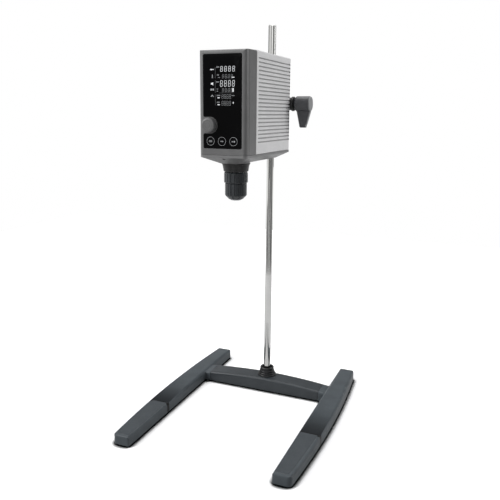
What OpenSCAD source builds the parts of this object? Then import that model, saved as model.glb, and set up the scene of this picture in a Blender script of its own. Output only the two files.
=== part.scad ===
// Laboratory overhead stirrer on an H-shaped stand.
// Millimetres, +Z up. The origin lies on the bench, at the middle of the stand's footprint;
// -Y is the front, where the display is, and the two legs run along Y.

/* [Stand legs] */
// Length of each leg, front to back
leg_l = 488; // [420:1:600]
// Clear distance between the inner faces of the legs
leg_gap = 300; // [240:1:400]
// Width of a leg at its two ends
leg_end_w = 36; // [30:0.5:50]
// How far a leg's outer side bows out at mid-length
leg_bow = 11.5; // [4:0.5:20]
// Height of a leg's flat front top above the bench
leg_h = 23; // [20:0.5:32]
// Rise of the crowned rear top above the flat front top
leg_crown = 1.6; // [0.6:0.1:4]
// Drop from the flat front top to the start of the crowned rear top
seam_drop = 1.2; // [0.2:0.1:1.5]
// Radius of the rounded outer shoulder
leg_shoulder = 7; // [3:0.5:9]
// Radius of a leg's rounded corners, seen from above
leg_corner = 9; // [4:0.5:14]
// Radius of the top edge at a leg's two ends
leg_nose = 4; // [1:0.5:5]
// Length of the inlaid front pad
pad_l = 156; // [100:1:190]
// Thickness of the inlaid front pad
pad_t = 1.6; // [1:0.1:3]
// Thickness of the rubber feet, which lift the castings off the bench
foot_h = 2.5; // [1.5:0.1:5]
// Length of a foot
foot_l = 46; // [30:1:80]
// Distance of a foot's rim from the leg's rim
foot_margin = 4; // [2:0.5:8]

/* [Cross bar and rod] */
// Width of the cross bar, front to back
bar_w = 48; // [42:1:64]
// Rise of the cross bar's arched top above the legs
bar_rise = 8; // [3:0.5:16]
// How far the cross bar's centre lies in front of the rod
bar_lead = 7; // [0:0.5:9]
// Length of the stub that carries the bar on each leg
stub_l = 13; // [8:0.5:22]
// Length of the tongue that enters the hollow bar end
tongue_l = 36; // [24:1:60]
// Diameter of the stand rod
rod_d = 16; // [12:0.5:20]
// Length of the stand rod
rod_l = 800; // [720:5:1000]
// Distance of the rod from the rear ends of the legs
rod_rear = 120; // [90:1:170]
// Depth of the rod's seat in the cross bar
rod_seat = 4; // [2:0.5:8]
// Diameter of the rod collar's flange
collar_d = 43; // [38:0.5:46]
// Height of the rod collar
collar_h = 20; // [14:0.5:32]

/* [Head housing] */
// Height of the housing's lower seam above the bench
head_z = 568.5; // [480:0.5:600]
// Width of the ribbed aluminium housing
head_w = 94; // [90:0.5:112]
// Height of the ribbed aluminium housing
head_h = 188.5; // [180:0.5:230]
// Length of the ribbed aluminium housing
shell_l = 189; // [180:0.5:230]
// Wall of the ribbed aluminium housing
shell_wall = 5; // [4.5:0.1:6]
// Spacing of the cooling grooves
groove_pitch = 7.28; // [5:0.1:12]
// Width of a cooling groove
groove_w = 2.6; // [1.4:0.1:3.4]
// Depth of a cooling groove
groove_d = 2.4; // [1:0.1:3]
// Plain front margin before the grooves start
groove_lead = 10; // [4:0.5:20]
// Distance of the rod axis behind the ribbed housing
head_gap = 14; // [14:0.5:20]
// Length of the moulded front bezel
bezel_l = 48; // [42:0.5:60]
// How far the bezel stands proud of the ribbed housing
bezel_proud = 0.5; // [0:0.1:1.5]
// Height of the ribbed housing's top above the bezel's
bezel_low = 1; // [0:0.1:2]
// Fall of the bezel's top from back to front
bezel_drop = 1.7; // [0:0.1:3]
// Distance of the front frame's seam from the face
frame_l = 12.5; // [9:0.5:20]
// Radius of the bezel's upright corners
bezel_corner = 8; // [4:0.5:8]
// Radius of the bezel's top front edge
bezel_edge = 5; // [2:0.5:6]
// Wall of the moulded covers
cover_wall = 3; // [2.4:0.1:4]
// Depth of the tapered bottom cover
bottom_h = 18; // [14:0.5:20]
// Upright rim of the bottom cover
bottom_rim = 5; // [3:0.5:7]
// How far the bottom cover tapers in at each side
bottom_side = 27.5; // [8:0.5:28]
// How far the bottom cover tapers in at the front
bottom_front = 29; // [14:0.5:32]
// How far the bottom cover tapers in at the rear
bottom_rear = 8; // [4:0.5:30]
// Thickness of the rear cover
rear_t = 4; // [3:0.1:5]
// Width of the vent slots in the rear cover
vent_w = 48; // [20:1:60]
// Spacing of the vent slots
vent_pitch = 6; // [4:0.5:7]
// Number of vent slots
vent_rows = 6; // [2:1:6]
// Radius of the bottom cover's screws
cover_screw_r = 1.6; // [1.2:0.1:2]
// Radius of the rear cover's screws
rear_screw_r = 1.2; // [0.8:0.05:1.25]

/* [Front panel] */
// Width of the black front window
panel_w = 76.8; // [70:0.2:82]
// Height of the black front window
panel_h = 167; // [150:0.5:170]
// Distance of the window's lower edge above the seam
panel_z = 11.5; // [6:0.5:16]
// Thickness of the window
panel_t = 1.6; // [1:0.1:2.2]
// Corner radius of the window
panel_corner = 3; // [1:0.5:6]
// Width of the display module
lcd_w = 46; // [36:1:56]
// Height of the display module
lcd_h = 72; // [50:1:76]
// Height of the display module's lower edge above the seam
lcd_z = 87; // [84:0.5:92]
// Spacing of the touch keys
key_gap = 23; // [18:0.5:25]
// Height of the touch keys above the seam
key_z = 25; // [22:0.5:28]
// Diameter of a touch key's sensor
key_d = 12; // [8:0.5:16]
// Diameter of the speed knob
knob_d = 28; // [24:0.5:32]
// How far the speed knob stands out
knob_h = 11.5; // [10:0.5:24]
// Distance of the speed knob left of the middle
knob_x = 25; // [18:0.5:26]
// Height of the speed knob above the seam
knob_z = 53.5; // [51:0.5:58]
// Diameter of the encoder shaft
encoder_d = 6; // [4:0.5:7]

/* [Spindle drive] */
// Distance of the spindle behind the front face
spindle_front = 62; // [60:0.5:70]
// Diameter of the spindle in its bearings
spindle_d = 17; // [16:0.5:20]
// Diameter of the hollow bore for the stirring shaft
shaft_bore_d = 10.5; // [9:0.1:11]
// Outer diameter of the spindle bearings
bearing_d = 30; // [29:0.5:34]
// Width of the spindle bearings
bearing_w = 7; // [5:0.5:10]
// Length of the bearing housing above the chassis
housing_h = 76; // [60:1:90]
// Distance from the spindle to the motor shaft
belt_span = 88; // [80:0.5:92]
// Belt radius on the spindle pulley
driven_r = 18; // [14:0.5:22]
// Belt radius on the motor pulley
drive_r = 12; // [9:0.5:14]
// Width of the toothed belt
belt_w = 10; // [6:0.5:14]
// Thickness of the toothed belt
belt_t = 1.6; // [1:0.1:2.4]
// Diameter of the motor
motor_d = 66; // [56:0.5:72]
// Length of the motor
motor_h = 70; // [50:0.5:74]
// Diameter of the motor shaft
motor_shaft_d = 8; // [5:0.5:10]
// Thickness of the chassis plate
chassis_t = 6; // [4:0.5:8]

/* [Keyless chuck] */
// Diameter of the chuck's rear sleeve
rear_sleeve_d = 46.4; // [45:0.2:50]
// Height of the chuck's rear sleeve
rear_sleeve_h = 20.5; // [17:0.5:24]
// Diameter of the chuck's turning front sleeve
front_sleeve_d = 42.6; // [42:0.2:44.6]
// Diameter of the chuck's steel core
core_d = 38; // [36.6:0.2:38.6]
// Total height of the chuck
chuck_h = 54.5; // [52:0.5:60]
// Diameter that the jaws hold at rest
grip_d = 8; // [7:0.1:8.6]
// Diameter of a jaw's round body
jaw_d = 7.2; // [6.8:0.1:7.4]
// Length of a jaw
jaw_l = 34; // [28:0.5:36]
// Angle between a jaw's guide and the chuck axis
jaw_tilt = 12; // [10:0.5:13]
// Number of flutes on a sleeve
flute_count = 18; // [12:1:24]
// Height of the guard above the chuck
guard_h = 16.5; // [12:0.5:18]
// Lower diameter of the guard
guard_d = 48; // [46:0.5:52]

/* [Rod clamp] */
// Height of the clamp block
clamp_h = 70; // [50:1:84]
// Width of the clamp block
clamp_w = 38; // [34:0.5:44]
// Height of the clamp screw above the seam
clamp_z = 96; // [94:0.5:100]
// Wall of the split bush on the rod
bush_t = 2; // [1.4:0.1:2.6]
// Diameter of the clamp screw
clamp_screw_d = 10; // [8:0.5:12]
// Distance of the clamp collar's outer face from the housing's side
clamp_reach = 6.5; // [6.5:0.5:12]
// Diameter of the clamp handle's hub
hub_d = 32; // [26:0.5:36]
// Length of the clamp handle's hub
hub_l = 35; // [26:0.5:44]
// Reach of the wing below the clamp screw
wing_l = 49.5; // [36:0.5:64]
// Thickness of the wing
wing_t = 11; // [7:0.5:14]
// Travel of the clamp pad over one turn of the screw
clamp_travel = 1.5; // [0.5:0.1:2]

/* [Electrics] */
// Distance of the mains inlet and the power switch from the middle
socket_x = 30; // [30:0.5:31]
// Width of the mains inlet's flange
inlet_w = 24; // [22:0.5:26]
// Height of the mains inlet's flange
inlet_h = 50; // [49:0.5:54]
// Height of the inlet's and the switch's lower edge above the seam
socket_z = 8; // [8:0.5:9]
// Depth of the mains inlet behind the rear cover
inlet_depth = 30; // [26:0.5:34]
// Width of the power switch
switch_w = 20; // [19:0.5:24]
// Height of the power switch
switch_h = 30; // [28:0.5:36]
// Tilt of the rocker to each side
rocker_tilt = 7; // [4:0.5:9]

/* [Clearances] */
// Radial running clearance of a shaft in its bore
run_gap = 0.05; // [0.02:0.01:0.1]
// Clearance between parts that move past each other
free_gap = 0.3; // [0.25:0.01:0.5]
// Seam between an inlaid or plugged part and its seat
seam_gap = 0.15; // [0.05:0.01:0.3]

/* [Hidden] */
$fn = 64;
eps = 0.01;

// Colours
cast_grey = [0.22, 0.24, 0.25];
pad_grey = [0.25, 0.27, 0.28];
rubber_black = [0.06, 0.06, 0.06];
steel = [0.62, 0.63, 0.65];
chrome = [0.85, 0.86, 0.88];
silver = [0.74, 0.74, 0.74];
bezel_grey = [0.38, 0.38, 0.38];
knob_grey = [0.44, 0.44, 0.45];
glass_black = [0.02, 0.02, 0.03];
board_green = [0.05, 0.3, 0.14];
chuck_black = [0.15, 0.17, 0.18];
handle_black = [0.2, 0.21, 0.22];
copper = [0.72, 0.42, 0.2];
brass = [0.78, 0.62, 0.3];

// ---------- Stand: derived sizes ----------
// The legs' mid-length is at Y = 0
leg_in = leg_gap / 2;
leg_half = leg_l / 2;
bow_r = (leg_half * leg_half + leg_bow * leg_bow) / (2 * leg_bow);
bow_cx = leg_in + leg_end_w + leg_bow - bow_r;
seam_y = pad_l - leg_half;
rod_y = leg_half - rod_rear;
bar_y = rod_y - bar_lead;
bar_half = leg_in - stub_l;
bar_top = leg_h + bar_rise;
bar_edge = 5;
bar_seam = 0.7;
rod_z = bar_top - rod_seat;
rod_r = rod_d / 2;
collar_z = bar_top - 0.3;
tongue_w = bar_w - 24;
tongue_h = leg_h - foot_h - 9;
tongue_z = foot_h + 4;
leg_screw_r = 3;
leg_screw_x = bar_half - tongue_l / 2;
leg_screw_y = tongue_w / 4;
rod_bolt_r = 5;
rod_bolt_l = 36;

// X of the bowed outer side at Y
function bow_x(y) = bow_cx + sqrt(bow_r * bow_r - y * y);

// Cuts a square corner back to a round one; x and y are the round's centre,
// sx and sy point from there to the corner
module corner_cut(x, y, r, sx, sy) {
    translate([x, y]) scale([sx, sy]) difference() {
        square(r + 3);
        circle(r = r);
    }
}

// Plan of the right leg between y0 and y1, moved in by the gaps; ends at a leg's end are rounded
module leg_plan(gap_in, gap_out, y0, y1) {
    r = leg_corner - gap_out / 2;
    y = leg_half - gap_out;
    y_low = max(y0, -y);
    y_high = min(y1, y);
    difference() {
        intersection() {
            translate([leg_in + gap_in, y_low]) square([leg_end_w + leg_bow, y_high - y_low]);
            translate([bow_cx, 0]) circle(r = bow_r - gap_out, $fn = 720);
        }
        for (side = [-1, 1]) if (side < 0 ? y0 <= -y : y1 >= y) {
            corner_cut(bow_x(y - r) - gap_out - r, side * (y - r), r, 1, side);
            corner_cut(leg_in + gap_in + r / 3, side * (y - r / 3), r / 3, -1, side);
        }
    }
}

// Share of the crown's rise at the share t of its length: steep at the seam, level at two
// thirds, then falling a little to the rear end
function crown_rise(t) = t < 2 / 3 ? 1 - pow(1 - 1.5 * t, 3) : 1 - pow(1.5 * t - 1, 2);

// Side view of a leg: flat front top, then a shallow crown behind the seam
module leg_side() {
    steps = 15;
    rear_top = leg_h - seam_drop + (leg_crown + seam_drop) * crown_rise(1);
    difference() {
        leg_side_blank(steps);
        corner_cut(leg_nose - leg_half, leg_h - leg_nose, leg_nose, -1, 1);
        corner_cut(leg_half - leg_nose, rear_top - leg_nose, leg_nose, 1, 1);
    }
}

module leg_side_blank(steps) {
    polygon(concat(
        [[leg_half + 1, foot_h], [-leg_half - 1, foot_h], [-leg_half - 1, leg_h], [seam_y, leg_h]],
        [for (i = [0 : steps]) let (t = i / steps)
            [seam_y + (leg_half + 1 - seam_y) * t, leg_h - seam_drop + (leg_crown + seam_drop) * crown_rise(t)]]
    ));
}

// Section of a leg, from the centre of its bow: a bar with a round outer shoulder
module leg_section() {
    w = leg_end_w + leg_bow + 4;
    top = leg_h + leg_crown;
    translate([bow_r - w, 0]) square([w - leg_shoulder, top]);
    translate([bow_r - w, 0]) square([w, top - leg_shoulder]);
    translate([bow_r - leg_shoulder, top - leg_shoulder]) circle(r = leg_shoulder);
}

// Section of a leg along its straight inner side, with the same round shoulder
module leg_inside() {
    top = leg_h + leg_crown;
    difference() {
        translate([leg_in, 0]) square([leg_end_w + leg_bow + 1, top]);
        corner_cut(leg_in + leg_shoulder, top - leg_shoulder, leg_shoulder, -1, 1);
    }
}

module leg_form() {
    intersection() {
        translate([bow_cx, 0, 0]) rotate([0, 0, -8]) rotate_extrude(angle = 16, $fn = 720) leg_section();
        linear_extrude(leg_h + leg_crown + 1) leg_plan(0, 0, -leg_half, leg_half);
        translate([0, leg_half + 1, 0]) rotate([90, 0, 0]) linear_extrude(leg_l + 2) leg_inside();
        translate([leg_in - 1, 0, 0]) rotate([90, 0, 90]) linear_extrude(leg_end_w + leg_bow + 2) leg_side();
    }
}

// Section of the cross bar and its stubs: an arch over the legs' inner faces
function bar_z(x) = leg_h - 0.8 + (bar_rise + 0.8) * (1 - pow(x / leg_in, 2));

module bar_form(x0, x1) {
    steps = 8;
    hull() for (a = [0 : 30 : 90]) for (side = [-1, 1]) {
        y = bar_y + side * (bar_w / 2 - bar_edge * (1 - cos(a)));
        low = [[x0, foot_h], [x1, foot_h]];
        drop = bar_edge * (1 - sin(a));
        top = [for (i = [steps : -1 : 0]) let (x = x0 + (x1 - x0) * i / steps) [x, bar_z(x) - drop]];
        translate([0, y + eps / 2, 0]) rotate([90, 0, 0]) linear_extrude(eps)
            polygon(concat(low, top));
    }
}

// Where the legs' screws go: one pair at each end of the bar
module at_leg_screws(side) {
    for (dy = [-leg_screw_y, leg_screw_y]) translate([side * leg_screw_x, bar_y + dy, 0]) children();
}

// Inlaid pad: the flat front top, inside the shoulder
module pad_plan(grow) {
    leg_plan(leg_shoulder * 0.55 - grow, leg_shoulder - grow, -leg_half, seam_y - 1.2 + 2 * grow);
}

module leg_solid() {
    difference() {
        union() {
            leg_form();
            bar_form(bar_half, leg_in + leg_shoulder);
            translate([bar_half - tongue_l, bar_y - tongue_w / 2, tongue_z])
                cube([tongue_l + 1, tongue_w, tongue_h]);
        }
        translate([0, 0, leg_h - pad_t]) linear_extrude(pad_t + 4) pad_plan(2 * seam_gap);
        at_leg_screws(1) translate([0, 0, tongue_z - 1]) cylinder(r = leg_screw_r, h = tongue_h - 1);
        foot_forms(foot_h + 1 + eps);
    }
}

// Rubber feet: one under each end of a leg, let into the casting
module foot_forms(h) {
    y_in = leg_half - foot_l - foot_margin;
    y_out = leg_half - foot_margin;
    linear_extrude(h) {
        leg_plan(foot_margin, foot_margin, y_in, y_out);
        leg_plan(foot_margin, foot_margin, -y_out, -y_in);
    }
}

module leg_right() {
    color(cast_grey) leg_solid();
}

module leg_left() {
    color(cast_grey) mirror([1, 0, 0]) leg_solid();
}

module leg_pads() {
    color(pad_grey) for (side = [0, 1]) mirror([side, 0, 0])
        translate([0, 0, leg_h - pad_t]) linear_extrude(pad_t) pad_plan(0);
}

module stand_feet() {
    color(rubber_black) for (side = [0, 1]) mirror([side, 0, 0]) foot_forms(foot_h + 1);
}

module crossbar() {
    color(cast_grey) difference() {
        bar_form(-bar_half + bar_seam, bar_half - bar_seam);
        for (side = [-1, 1]) translate([side * (bar_half - tongue_l / 2), bar_y, tongue_z + tongue_h / 2])
            cube([tongue_l + 2 * seam_gap, tongue_w + 2 * seam_gap, tongue_h + 2 * seam_gap], center = true);
        translate([0, rod_y, rod_z]) cylinder(r = rod_r + seam_gap, h = bar_rise + leg_h);
        translate([0, rod_y, collar_z]) cylinder(d = collar_d + 1, h = bar_rise);
        translate([0, rod_y, 0]) cylinder(r = rod_bolt_r + seam_gap, h = bar_top);
        translate([0, rod_y, foot_h - 1]) cylinder(r = rod_bolt_r + 5, h = 8);
        for (side = [-1, 1]) at_leg_screws(side) {
            cylinder(r = leg_screw_r + seam_gap, h = tongue_z + 1);
            translate([0, 0, -1]) cylinder(r = leg_screw_r + 2.6, h = foot_h + 3);
        }
    }
}

module leg_screws() {
    color(steel) for (side = [-1, 1]) at_leg_screws(side) {
        translate([0, 0, foot_h + 0.4]) difference() {
            cylinder(r = leg_screw_r + 2.4, h = 1.6);
            translate([0, 0, -1]) cylinder(r = 1.8, h = 2, $fn = 6);
        }
        translate([0, 0, foot_h + 2 - eps]) cylinder(r = leg_screw_r, h = tongue_h - 2);
    }
}

module stand_rod() {
    color(chrome) translate([0, rod_y, rod_z]) difference() {
        rotate_extrude() polygon([
            [0, 0], [rod_r - 1, 0], [rod_r, 1], [rod_r, rod_l - 1.5], [rod_r - 1.5, rod_l], [0, rod_l]
        ]);
        translate([0, 0, -1]) cylinder(r = rod_bolt_r, h = rod_bolt_l);
    }
}

module rod_collar() {
    r = collar_d / 2;
    bore = rod_r + seam_gap;
    color(chuck_black) translate([0, rod_y, collar_z]) rotate_extrude() polygon([
        [bore, 0], [r, 0], [r, 0.13 * collar_h], [r - 0.8, 0.18 * collar_h],
        [r - 2.6, 0.2 * collar_h], [r - 2.4, 0.34 * collar_h], [r - 3.2, 0.39 * collar_h],
        [r - 4.9, 0.41 * collar_h], [r - 4.9, 0.46 * collar_h], [r - 4.1, 0.48 * collar_h],
        [r - 4.1, 0.6 * collar_h], [r - 4.9, 0.64 * collar_h], [r - 6.2, 0.66 * collar_h],
        [r - 6.2, 0.72 * collar_h], [r - 5.5, 0.75 * collar_h], [r - 5.3, 0.94 * collar_h], [r - 6, collar_h],
        [rod_r + 5, collar_h], [rod_r + 4.4, collar_h - 4], [bore, collar_h - 4]
    ]);
}

module rod_bolt() {
    top = rod_z + rod_bolt_l - 4;
    color(steel) translate([0, rod_y, 0]) difference() {
        union() {
            translate([0, 0, foot_h + 1]) cylinder(r = rod_bolt_r + 4, h = 6);
            translate([0, 0, foot_h + 6]) cylinder(r = rod_bolt_r, h = top - foot_h - 6);
        }
        cylinder(r = 4, h = foot_h + 5, $fn = 6);
    }
}

// ---------- Head: derived sizes ----------
// Head pieces are drawn from the rod axis, with Z = 0 at the housing's lower seam
shell_back = -head_gap;
shell_front = shell_back - shell_l;
face_y = shell_front - bezel_l;
half_w = head_w / 2;
bezel_w = head_w + 2 * bezel_proud;
bezel_top = head_h - bezel_low;
bezel_roof = bezel_top - bezel_drop - cover_wall;
inner_w = head_w - 2 * shell_wall;
groove_top = 13.6;
groove_bottom = 21.5;
groove_count = floor((head_h - groove_top - groove_bottom) / groove_pitch) + 1;
rear_back = shell_back + rear_t;
rear_inset = 1.4;
spindle_y = face_y + spindle_front;
motor_y = spindle_y + belt_span;
chassis_z = 4;
chassis_top = chassis_z + chassis_t;
bottom_z = -bottom_h;
cover_gap = 0.5;
shell_top = head_h - shell_wall;
lip_l = 6;
lip_t = 2;
guard_r = guard_d / 2;
guard_flange = 3.6;
pillar_w = 40;
pillar_t = 6;
clamp_front = 24;
pillar_y = -clamp_front - pillar_t;
pillar_top = 140;
clamp_bolt_x = 12;
clamp_bolt_z = 21;
standoff_l = 10;
standoff_x = 15;
power_y = pillar_y - standoff_l;
power_low = 26;
power_high = 132;
lcd_x = 6;
board_gap = 6;
board_y = face_y + cover_wall + board_gap;
board_t = 1.6;
board_hole_x = bezel_w / 2 - cover_wall - 5;
board_low = 12;
board_high = head_h - 16;

cover_screw_side = shell_wall + 3;
cover_screw_inset = 29;

// Places of the screws that hold the bottom cover up
cover_screws = [
    [0, face_y + bezel_corner - 1],
    [half_w - cover_screw_side, face_y + cover_screw_inset],
    [cover_screw_side - half_w, face_y + cover_screw_inset],
    [half_w - cover_screw_side, shell_back - 13],
    [cover_screw_side - half_w, shell_back - 13]
];

module at_head() {
    translate([0, rod_y, head_z]) children();
}

module rounded_rect(w, h, r) {
    translate([-w / 2 + r, 0]) square([w - 2 * r, h]);
    translate([-w / 2, r]) square([w, h - 2 * r]);
    for (x = [r - w / 2, w / 2 - r], z = [r, h - r]) translate([x, z]) circle(r = r);
}

// Lies in the XZ plane and runs from y_front back by length
module along_y(y_front, length) {
    translate([0, y_front + length, 0]) rotate([90, 0, 0]) linear_extrude(length) children();
}

// ---------- Ribbed housing ----------
// Section of the extrusion: an upside-down U with inner foot flanges that carry the chassis
module shell_section() {
    difference() {
        union() {
            translate([-half_w, 0]) square([head_w, head_h / 2]);
            rounded_rect(head_w, head_h, 3);
        }
        translate([-inner_w / 2, chassis_z]) square([inner_w, head_h - chassis_z - shell_wall]);
        translate([6 - inner_w / 2, -1]) square([inner_w - 12, chassis_z + 2]);
    }
}

// All the grooves of one side, as slots with rounded floors
module groove_rows() {
    for (i = [0 : groove_count - 1]) {
        z = head_h - groove_top - groove_pitch * i;
        translate([half_w - groove_d + groove_w / 2, z - groove_w / 2]) square([groove_d, groove_w]);
        translate([half_w - groove_d + groove_w / 2, z]) circle(d = groove_w, $fn = 16);
    }
}

module head_shell() {
    color(silver) at_head() difference() {
        along_y(shell_front, shell_l) shell_section();
        for (side = [0, 1]) mirror([side, 0, 0])
            along_y(shell_front + groove_lead, shell_l) groove_rows();
        at_rear_screws() disc_y(rear_screw_r, shell_back - 12, 13);
        at_cover_screws() translate([0, 0, -1]) cylinder(r = cover_screw_r + 0.1, h = chassis_z + 2);
    }
}

// ---------- Front bezel ----------
// The bezel's outside: where its plan, its side view and its front view overlap
module bezel_form() {
    front_top = bezel_top - bezel_drop;
    intersection() {
        linear_extrude(bezel_top + 1) {
            translate([bezel_corner - bezel_w / 2, face_y]) square([bezel_w - 2 * bezel_corner, bezel_l]);
            translate([-bezel_w / 2, face_y + bezel_corner]) square([bezel_w, bezel_l - bezel_corner]);
            for (x = [bezel_corner - bezel_w / 2, bezel_w / 2 - bezel_corner])
                translate([x, face_y + bezel_corner]) circle(r = bezel_corner);
        }
        translate([-bezel_w, 0, 0]) rotate([90, 0, 90]) linear_extrude(2 * bezel_w) {
            polygon([
                [face_y, 0], [shell_front, 0], [shell_front, bezel_top], [face_y + bezel_edge, front_top],
                [face_y + bezel_edge, front_top - bezel_edge], [face_y, front_top - bezel_edge]
            ]);
            translate([face_y + bezel_edge, front_top - bezel_edge]) circle(r = bezel_edge);
        }
        along_y(face_y - 1, bezel_l + 1) {
            translate([-bezel_w / 2, 0]) square([bezel_w, bezel_top - 3]);
            translate([3 - bezel_w / 2, 0]) square([bezel_w - 6, bezel_top]);
            for (x = [3 - bezel_w / 2, bezel_w / 2 - 3]) translate([x, bezel_top - 3]) circle(r = 3);
        }
    }
}

// Outline of the black window: a rounded rectangle that leaves a bay open for the knob
module window_plan(gap) {
    bay_d = knob_d + 2.4 - 2 * gap;
    bay = bay_d * 0.98;
    r = panel_corner;
    difference() {
        translate([0, panel_z - gap]) rounded_rect(panel_w + 2 * gap, panel_h + 2 * gap, r);
        translate([-knob_x, knob_z]) circle(d = bay_d);
        translate([-knob_x - bezel_w, knob_z - bay / 2]) square([bezel_w, bay]);
        for (side = [-1, 1])
            corner_cut(r - panel_w / 2 - gap, knob_z + side * (bay / 2 + r), r, -1, -side);
    }
}

module at_keys() {
    for (i = [-1, 0, 1]) translate([i * key_gap - 1, 0, key_z]) children();
}

module disc_y(r, y_front, length) {
    translate([0, y_front + length, 0]) rotate([90, 0, 0]) cylinder(r = r, h = length);
}

module at_board_corners() {
    for (x = [-board_hole_x, board_hole_x], z = [board_low, board_high]) translate([x, 0, z]) children();
}

module front_bezel() {
    inner = bezel_w - 2 * cover_wall;
    color(bezel_grey) at_head() difference() {
        union() {
            difference() {
                bezel_form();
                translate([-inner / 2, face_y + cover_wall, -1])
                    cube([inner, bezel_l, bezel_roof + 1]);
            }
            along_y(shell_front - lip_l, 2 * lip_l) lip_section(inner_w - 2 * seam_gap, shell_top - seam_gap);
            along_y(shell_front - lip_l, lip_l - eps) lip_section(inner + eps, bezel_roof + eps);
            translate([-5, face_y + cover_wall - eps, 0]) cube([10, 9, board_low - 5]);
            at_board_corners() disc_y(3.5, face_y + cover_wall - eps, board_gap + eps);
        }
        along_y(face_y - 1, panel_t + 1) window_plan(seam_gap);
        translate([lcd_x - lcd_w / 2 - seam_gap, face_y, lcd_z - seam_gap])
            cube([lcd_w + 2 * seam_gap, cover_wall + 1, lcd_h + 2 * seam_gap]);
        at_keys() disc_y(key_d / 2 + seam_gap, face_y, cover_wall + 1);
        translate([-knob_x, 0, knob_z]) disc_y(encoder_d / 2 + 1.5 + seam_gap, face_y - 1, cover_wall + 2);
        at_cover_screws() cylinder(r = cover_screw_r, h = board_low - 6);
        frame_seam();
    }
}

// Groove round the bezel's sides and top, where the front frame meets the hood behind it
module frame_seam() {
    deep = 0.6;
    roof = bezel_top - bezel_drop * (1 - frame_l / bezel_l) - deep;
    difference() {
        translate([-bezel_w, face_y + frame_l, -1]) cube([2 * bezel_w, 0.8, bezel_top + 2]);
        translate([deep - bezel_w / 2, face_y + frame_l - 1, -2]) cube([bezel_w - 2 * deep, 3, roof + 2]);
    }
}

// Plug lip of a cover: a band inside the mouth of the ribbed housing, w wide and up to the
// height top; its opening is the same whatever its outer size
module lip_section(w, top) {
    low = chassis_top + 1;
    w_in = inner_w - 2 * lip_t;
    difference() {
        translate([-w / 2, low]) square([w, top - low]);
        translate([-w_in / 2, low - 1]) square([w_in, shell_top - lip_t - low + 1]);
    }
}

module display_window() {
    color(glass_black) at_head() along_y(face_y, panel_t) window_plan(0);
}

module lcd_module() {
    y_front = face_y + panel_t;
    color([0.1, 0.11, 0.12]) at_head() translate([lcd_x - lcd_w / 2, y_front, lcd_z])
        cube([lcd_w, board_y - y_front, lcd_h]);
}

module display_board() {
    w = 2 * board_hole_x + 8;
    color(board_green) at_head() difference() {
        translate([-w / 2, board_y, board_low - 4]) cube([w, board_t, board_high - board_low + 8]);
        at_board_corners() disc_y(1.6, board_y - 1, board_t + 2);
    }
}

module touch_sensors() {
    y_front = face_y + panel_t;
    color(copper) at_head() at_keys() disc_y(key_d / 2, y_front, board_y - y_front);
}

module encoder_body() {
    y_front = face_y + cover_wall;
    color(steel) at_head() translate([-knob_x, 0, knob_z]) difference() {
        union() {
            translate([-7, y_front, -7]) cube([14, board_gap, 14]);
            disc_y(encoder_d / 2 + 1.5, face_y + 0.5, cover_wall);
        }
        disc_y(encoder_d / 2 + run_gap, face_y - 1, cover_wall + board_gap - 1);
    }
}

knob_back = face_y - 0.8;
knob_face = face_y - knob_h;

module encoder_shaft() {
    color(steel) at_head() translate([-knob_x, 0, knob_z])
        disc_y(encoder_d / 2, knob_face + 3, face_y + cover_wall + board_gap - 3 - knob_face - 3);
}

// Turned along Y: a cap with a rolled front edge, hollow behind, with a central hub
module speed_knob() {
    r = knob_d / 2;
    depth = knob_back - knob_face;
    color(knob_grey) at_head() translate([-knob_x, knob_face, knob_z]) rotate([-90, 0, 0]) rotate_extrude()
        polygon([
            [0, 0], [r - 3.5, 0], [r - 2, 0.4], [r - 0.8, 1.4], [r - 0.3, 3], [r, depth],
            [r - 2, depth], [r - 2.2, 3.5], [encoder_d / 2 + 2, 3.5], [encoder_d / 2 + 2, depth],
            [encoder_d / 2, depth], [encoder_d / 2, 3], [0, 3]
        ]);
}

// ---------- Bottom cover ----------
// Plan of the head, with the bezel's rounded front corners, moved in on each side
module head_plan(side, front, rear, r) {
    w = bezel_w - 2 * side;
    y0 = face_y + front;
    y1 = shell_back - rear;
    for (x = [r - w / 2, w / 2 - r]) translate([x, y0 + r]) circle(r = r, $fn = 32);
    translate([-w / 2, y1 - 1]) square([w, 1]);
}

module bottom_form(wall) {
    r = max(bezel_corner - wall, 1);
    hull() {
        translate([0, 0, -bottom_rim]) linear_extrude(bottom_rim - cover_gap) head_plan(wall, wall, wall, r);
        translate([0, 0, bottom_z + wall]) linear_extrude(eps)
            head_plan(bottom_side + wall / 2, bottom_front + wall / 2, bottom_rear + wall / 2, r);
    }
}

module at_cover_screws() {
    for (p = cover_screws) translate([p[0], p[1], 0]) children();
}

module bottom_cover() {
    boss_r = guard_r + guard_flange;
    color(bezel_grey) at_head() difference() {
        union() {
            difference() {
                bottom_form(0);
                translate([0, 0, eps]) bottom_form(cover_wall);
            }
            intersection() {
                bottom_form(0);
                at_cover_screws() translate([0, 0, bottom_z]) cylinder(r = 4.6, h = bottom_h);
            }
            translate([0, spindle_y, bottom_z]) cylinder(r = boss_r, h = bottom_h - 4);
        }
        at_cover_screws() translate([0, 0, bottom_z - 1]) {
            cylinder(r = cover_screw_r + seam_gap, h = bottom_h + 2);
            cylinder(r = cover_screw_r + 1.6, h = bottom_h - 1.4);
        }
        translate([0, spindle_y, bottom_z - 1]) cylinder(r = guard_r - 0.5, h = bottom_h);
    }
}

module chassis_screws() {
    color(steel) at_head() for (p = cover_screws) translate([p[0], p[1], 0]) {
        length = p[0] == 0 ? board_low - 6.5 : chassis_top - 0.5;
        translate([0, 0, -3.8]) cylinder(r = cover_screw_r + 1.2, h = 1.4);
        translate([0, 0, -2.5]) cylinder(r = cover_screw_r, h = 2.5 + length);
    }
}

// ---------- Rear cover ----------
module rear_plan(inset) {
    translate([0, inset]) rounded_rect(head_w - 2 * inset, head_h - 2 * inset, 2.6);
}

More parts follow.
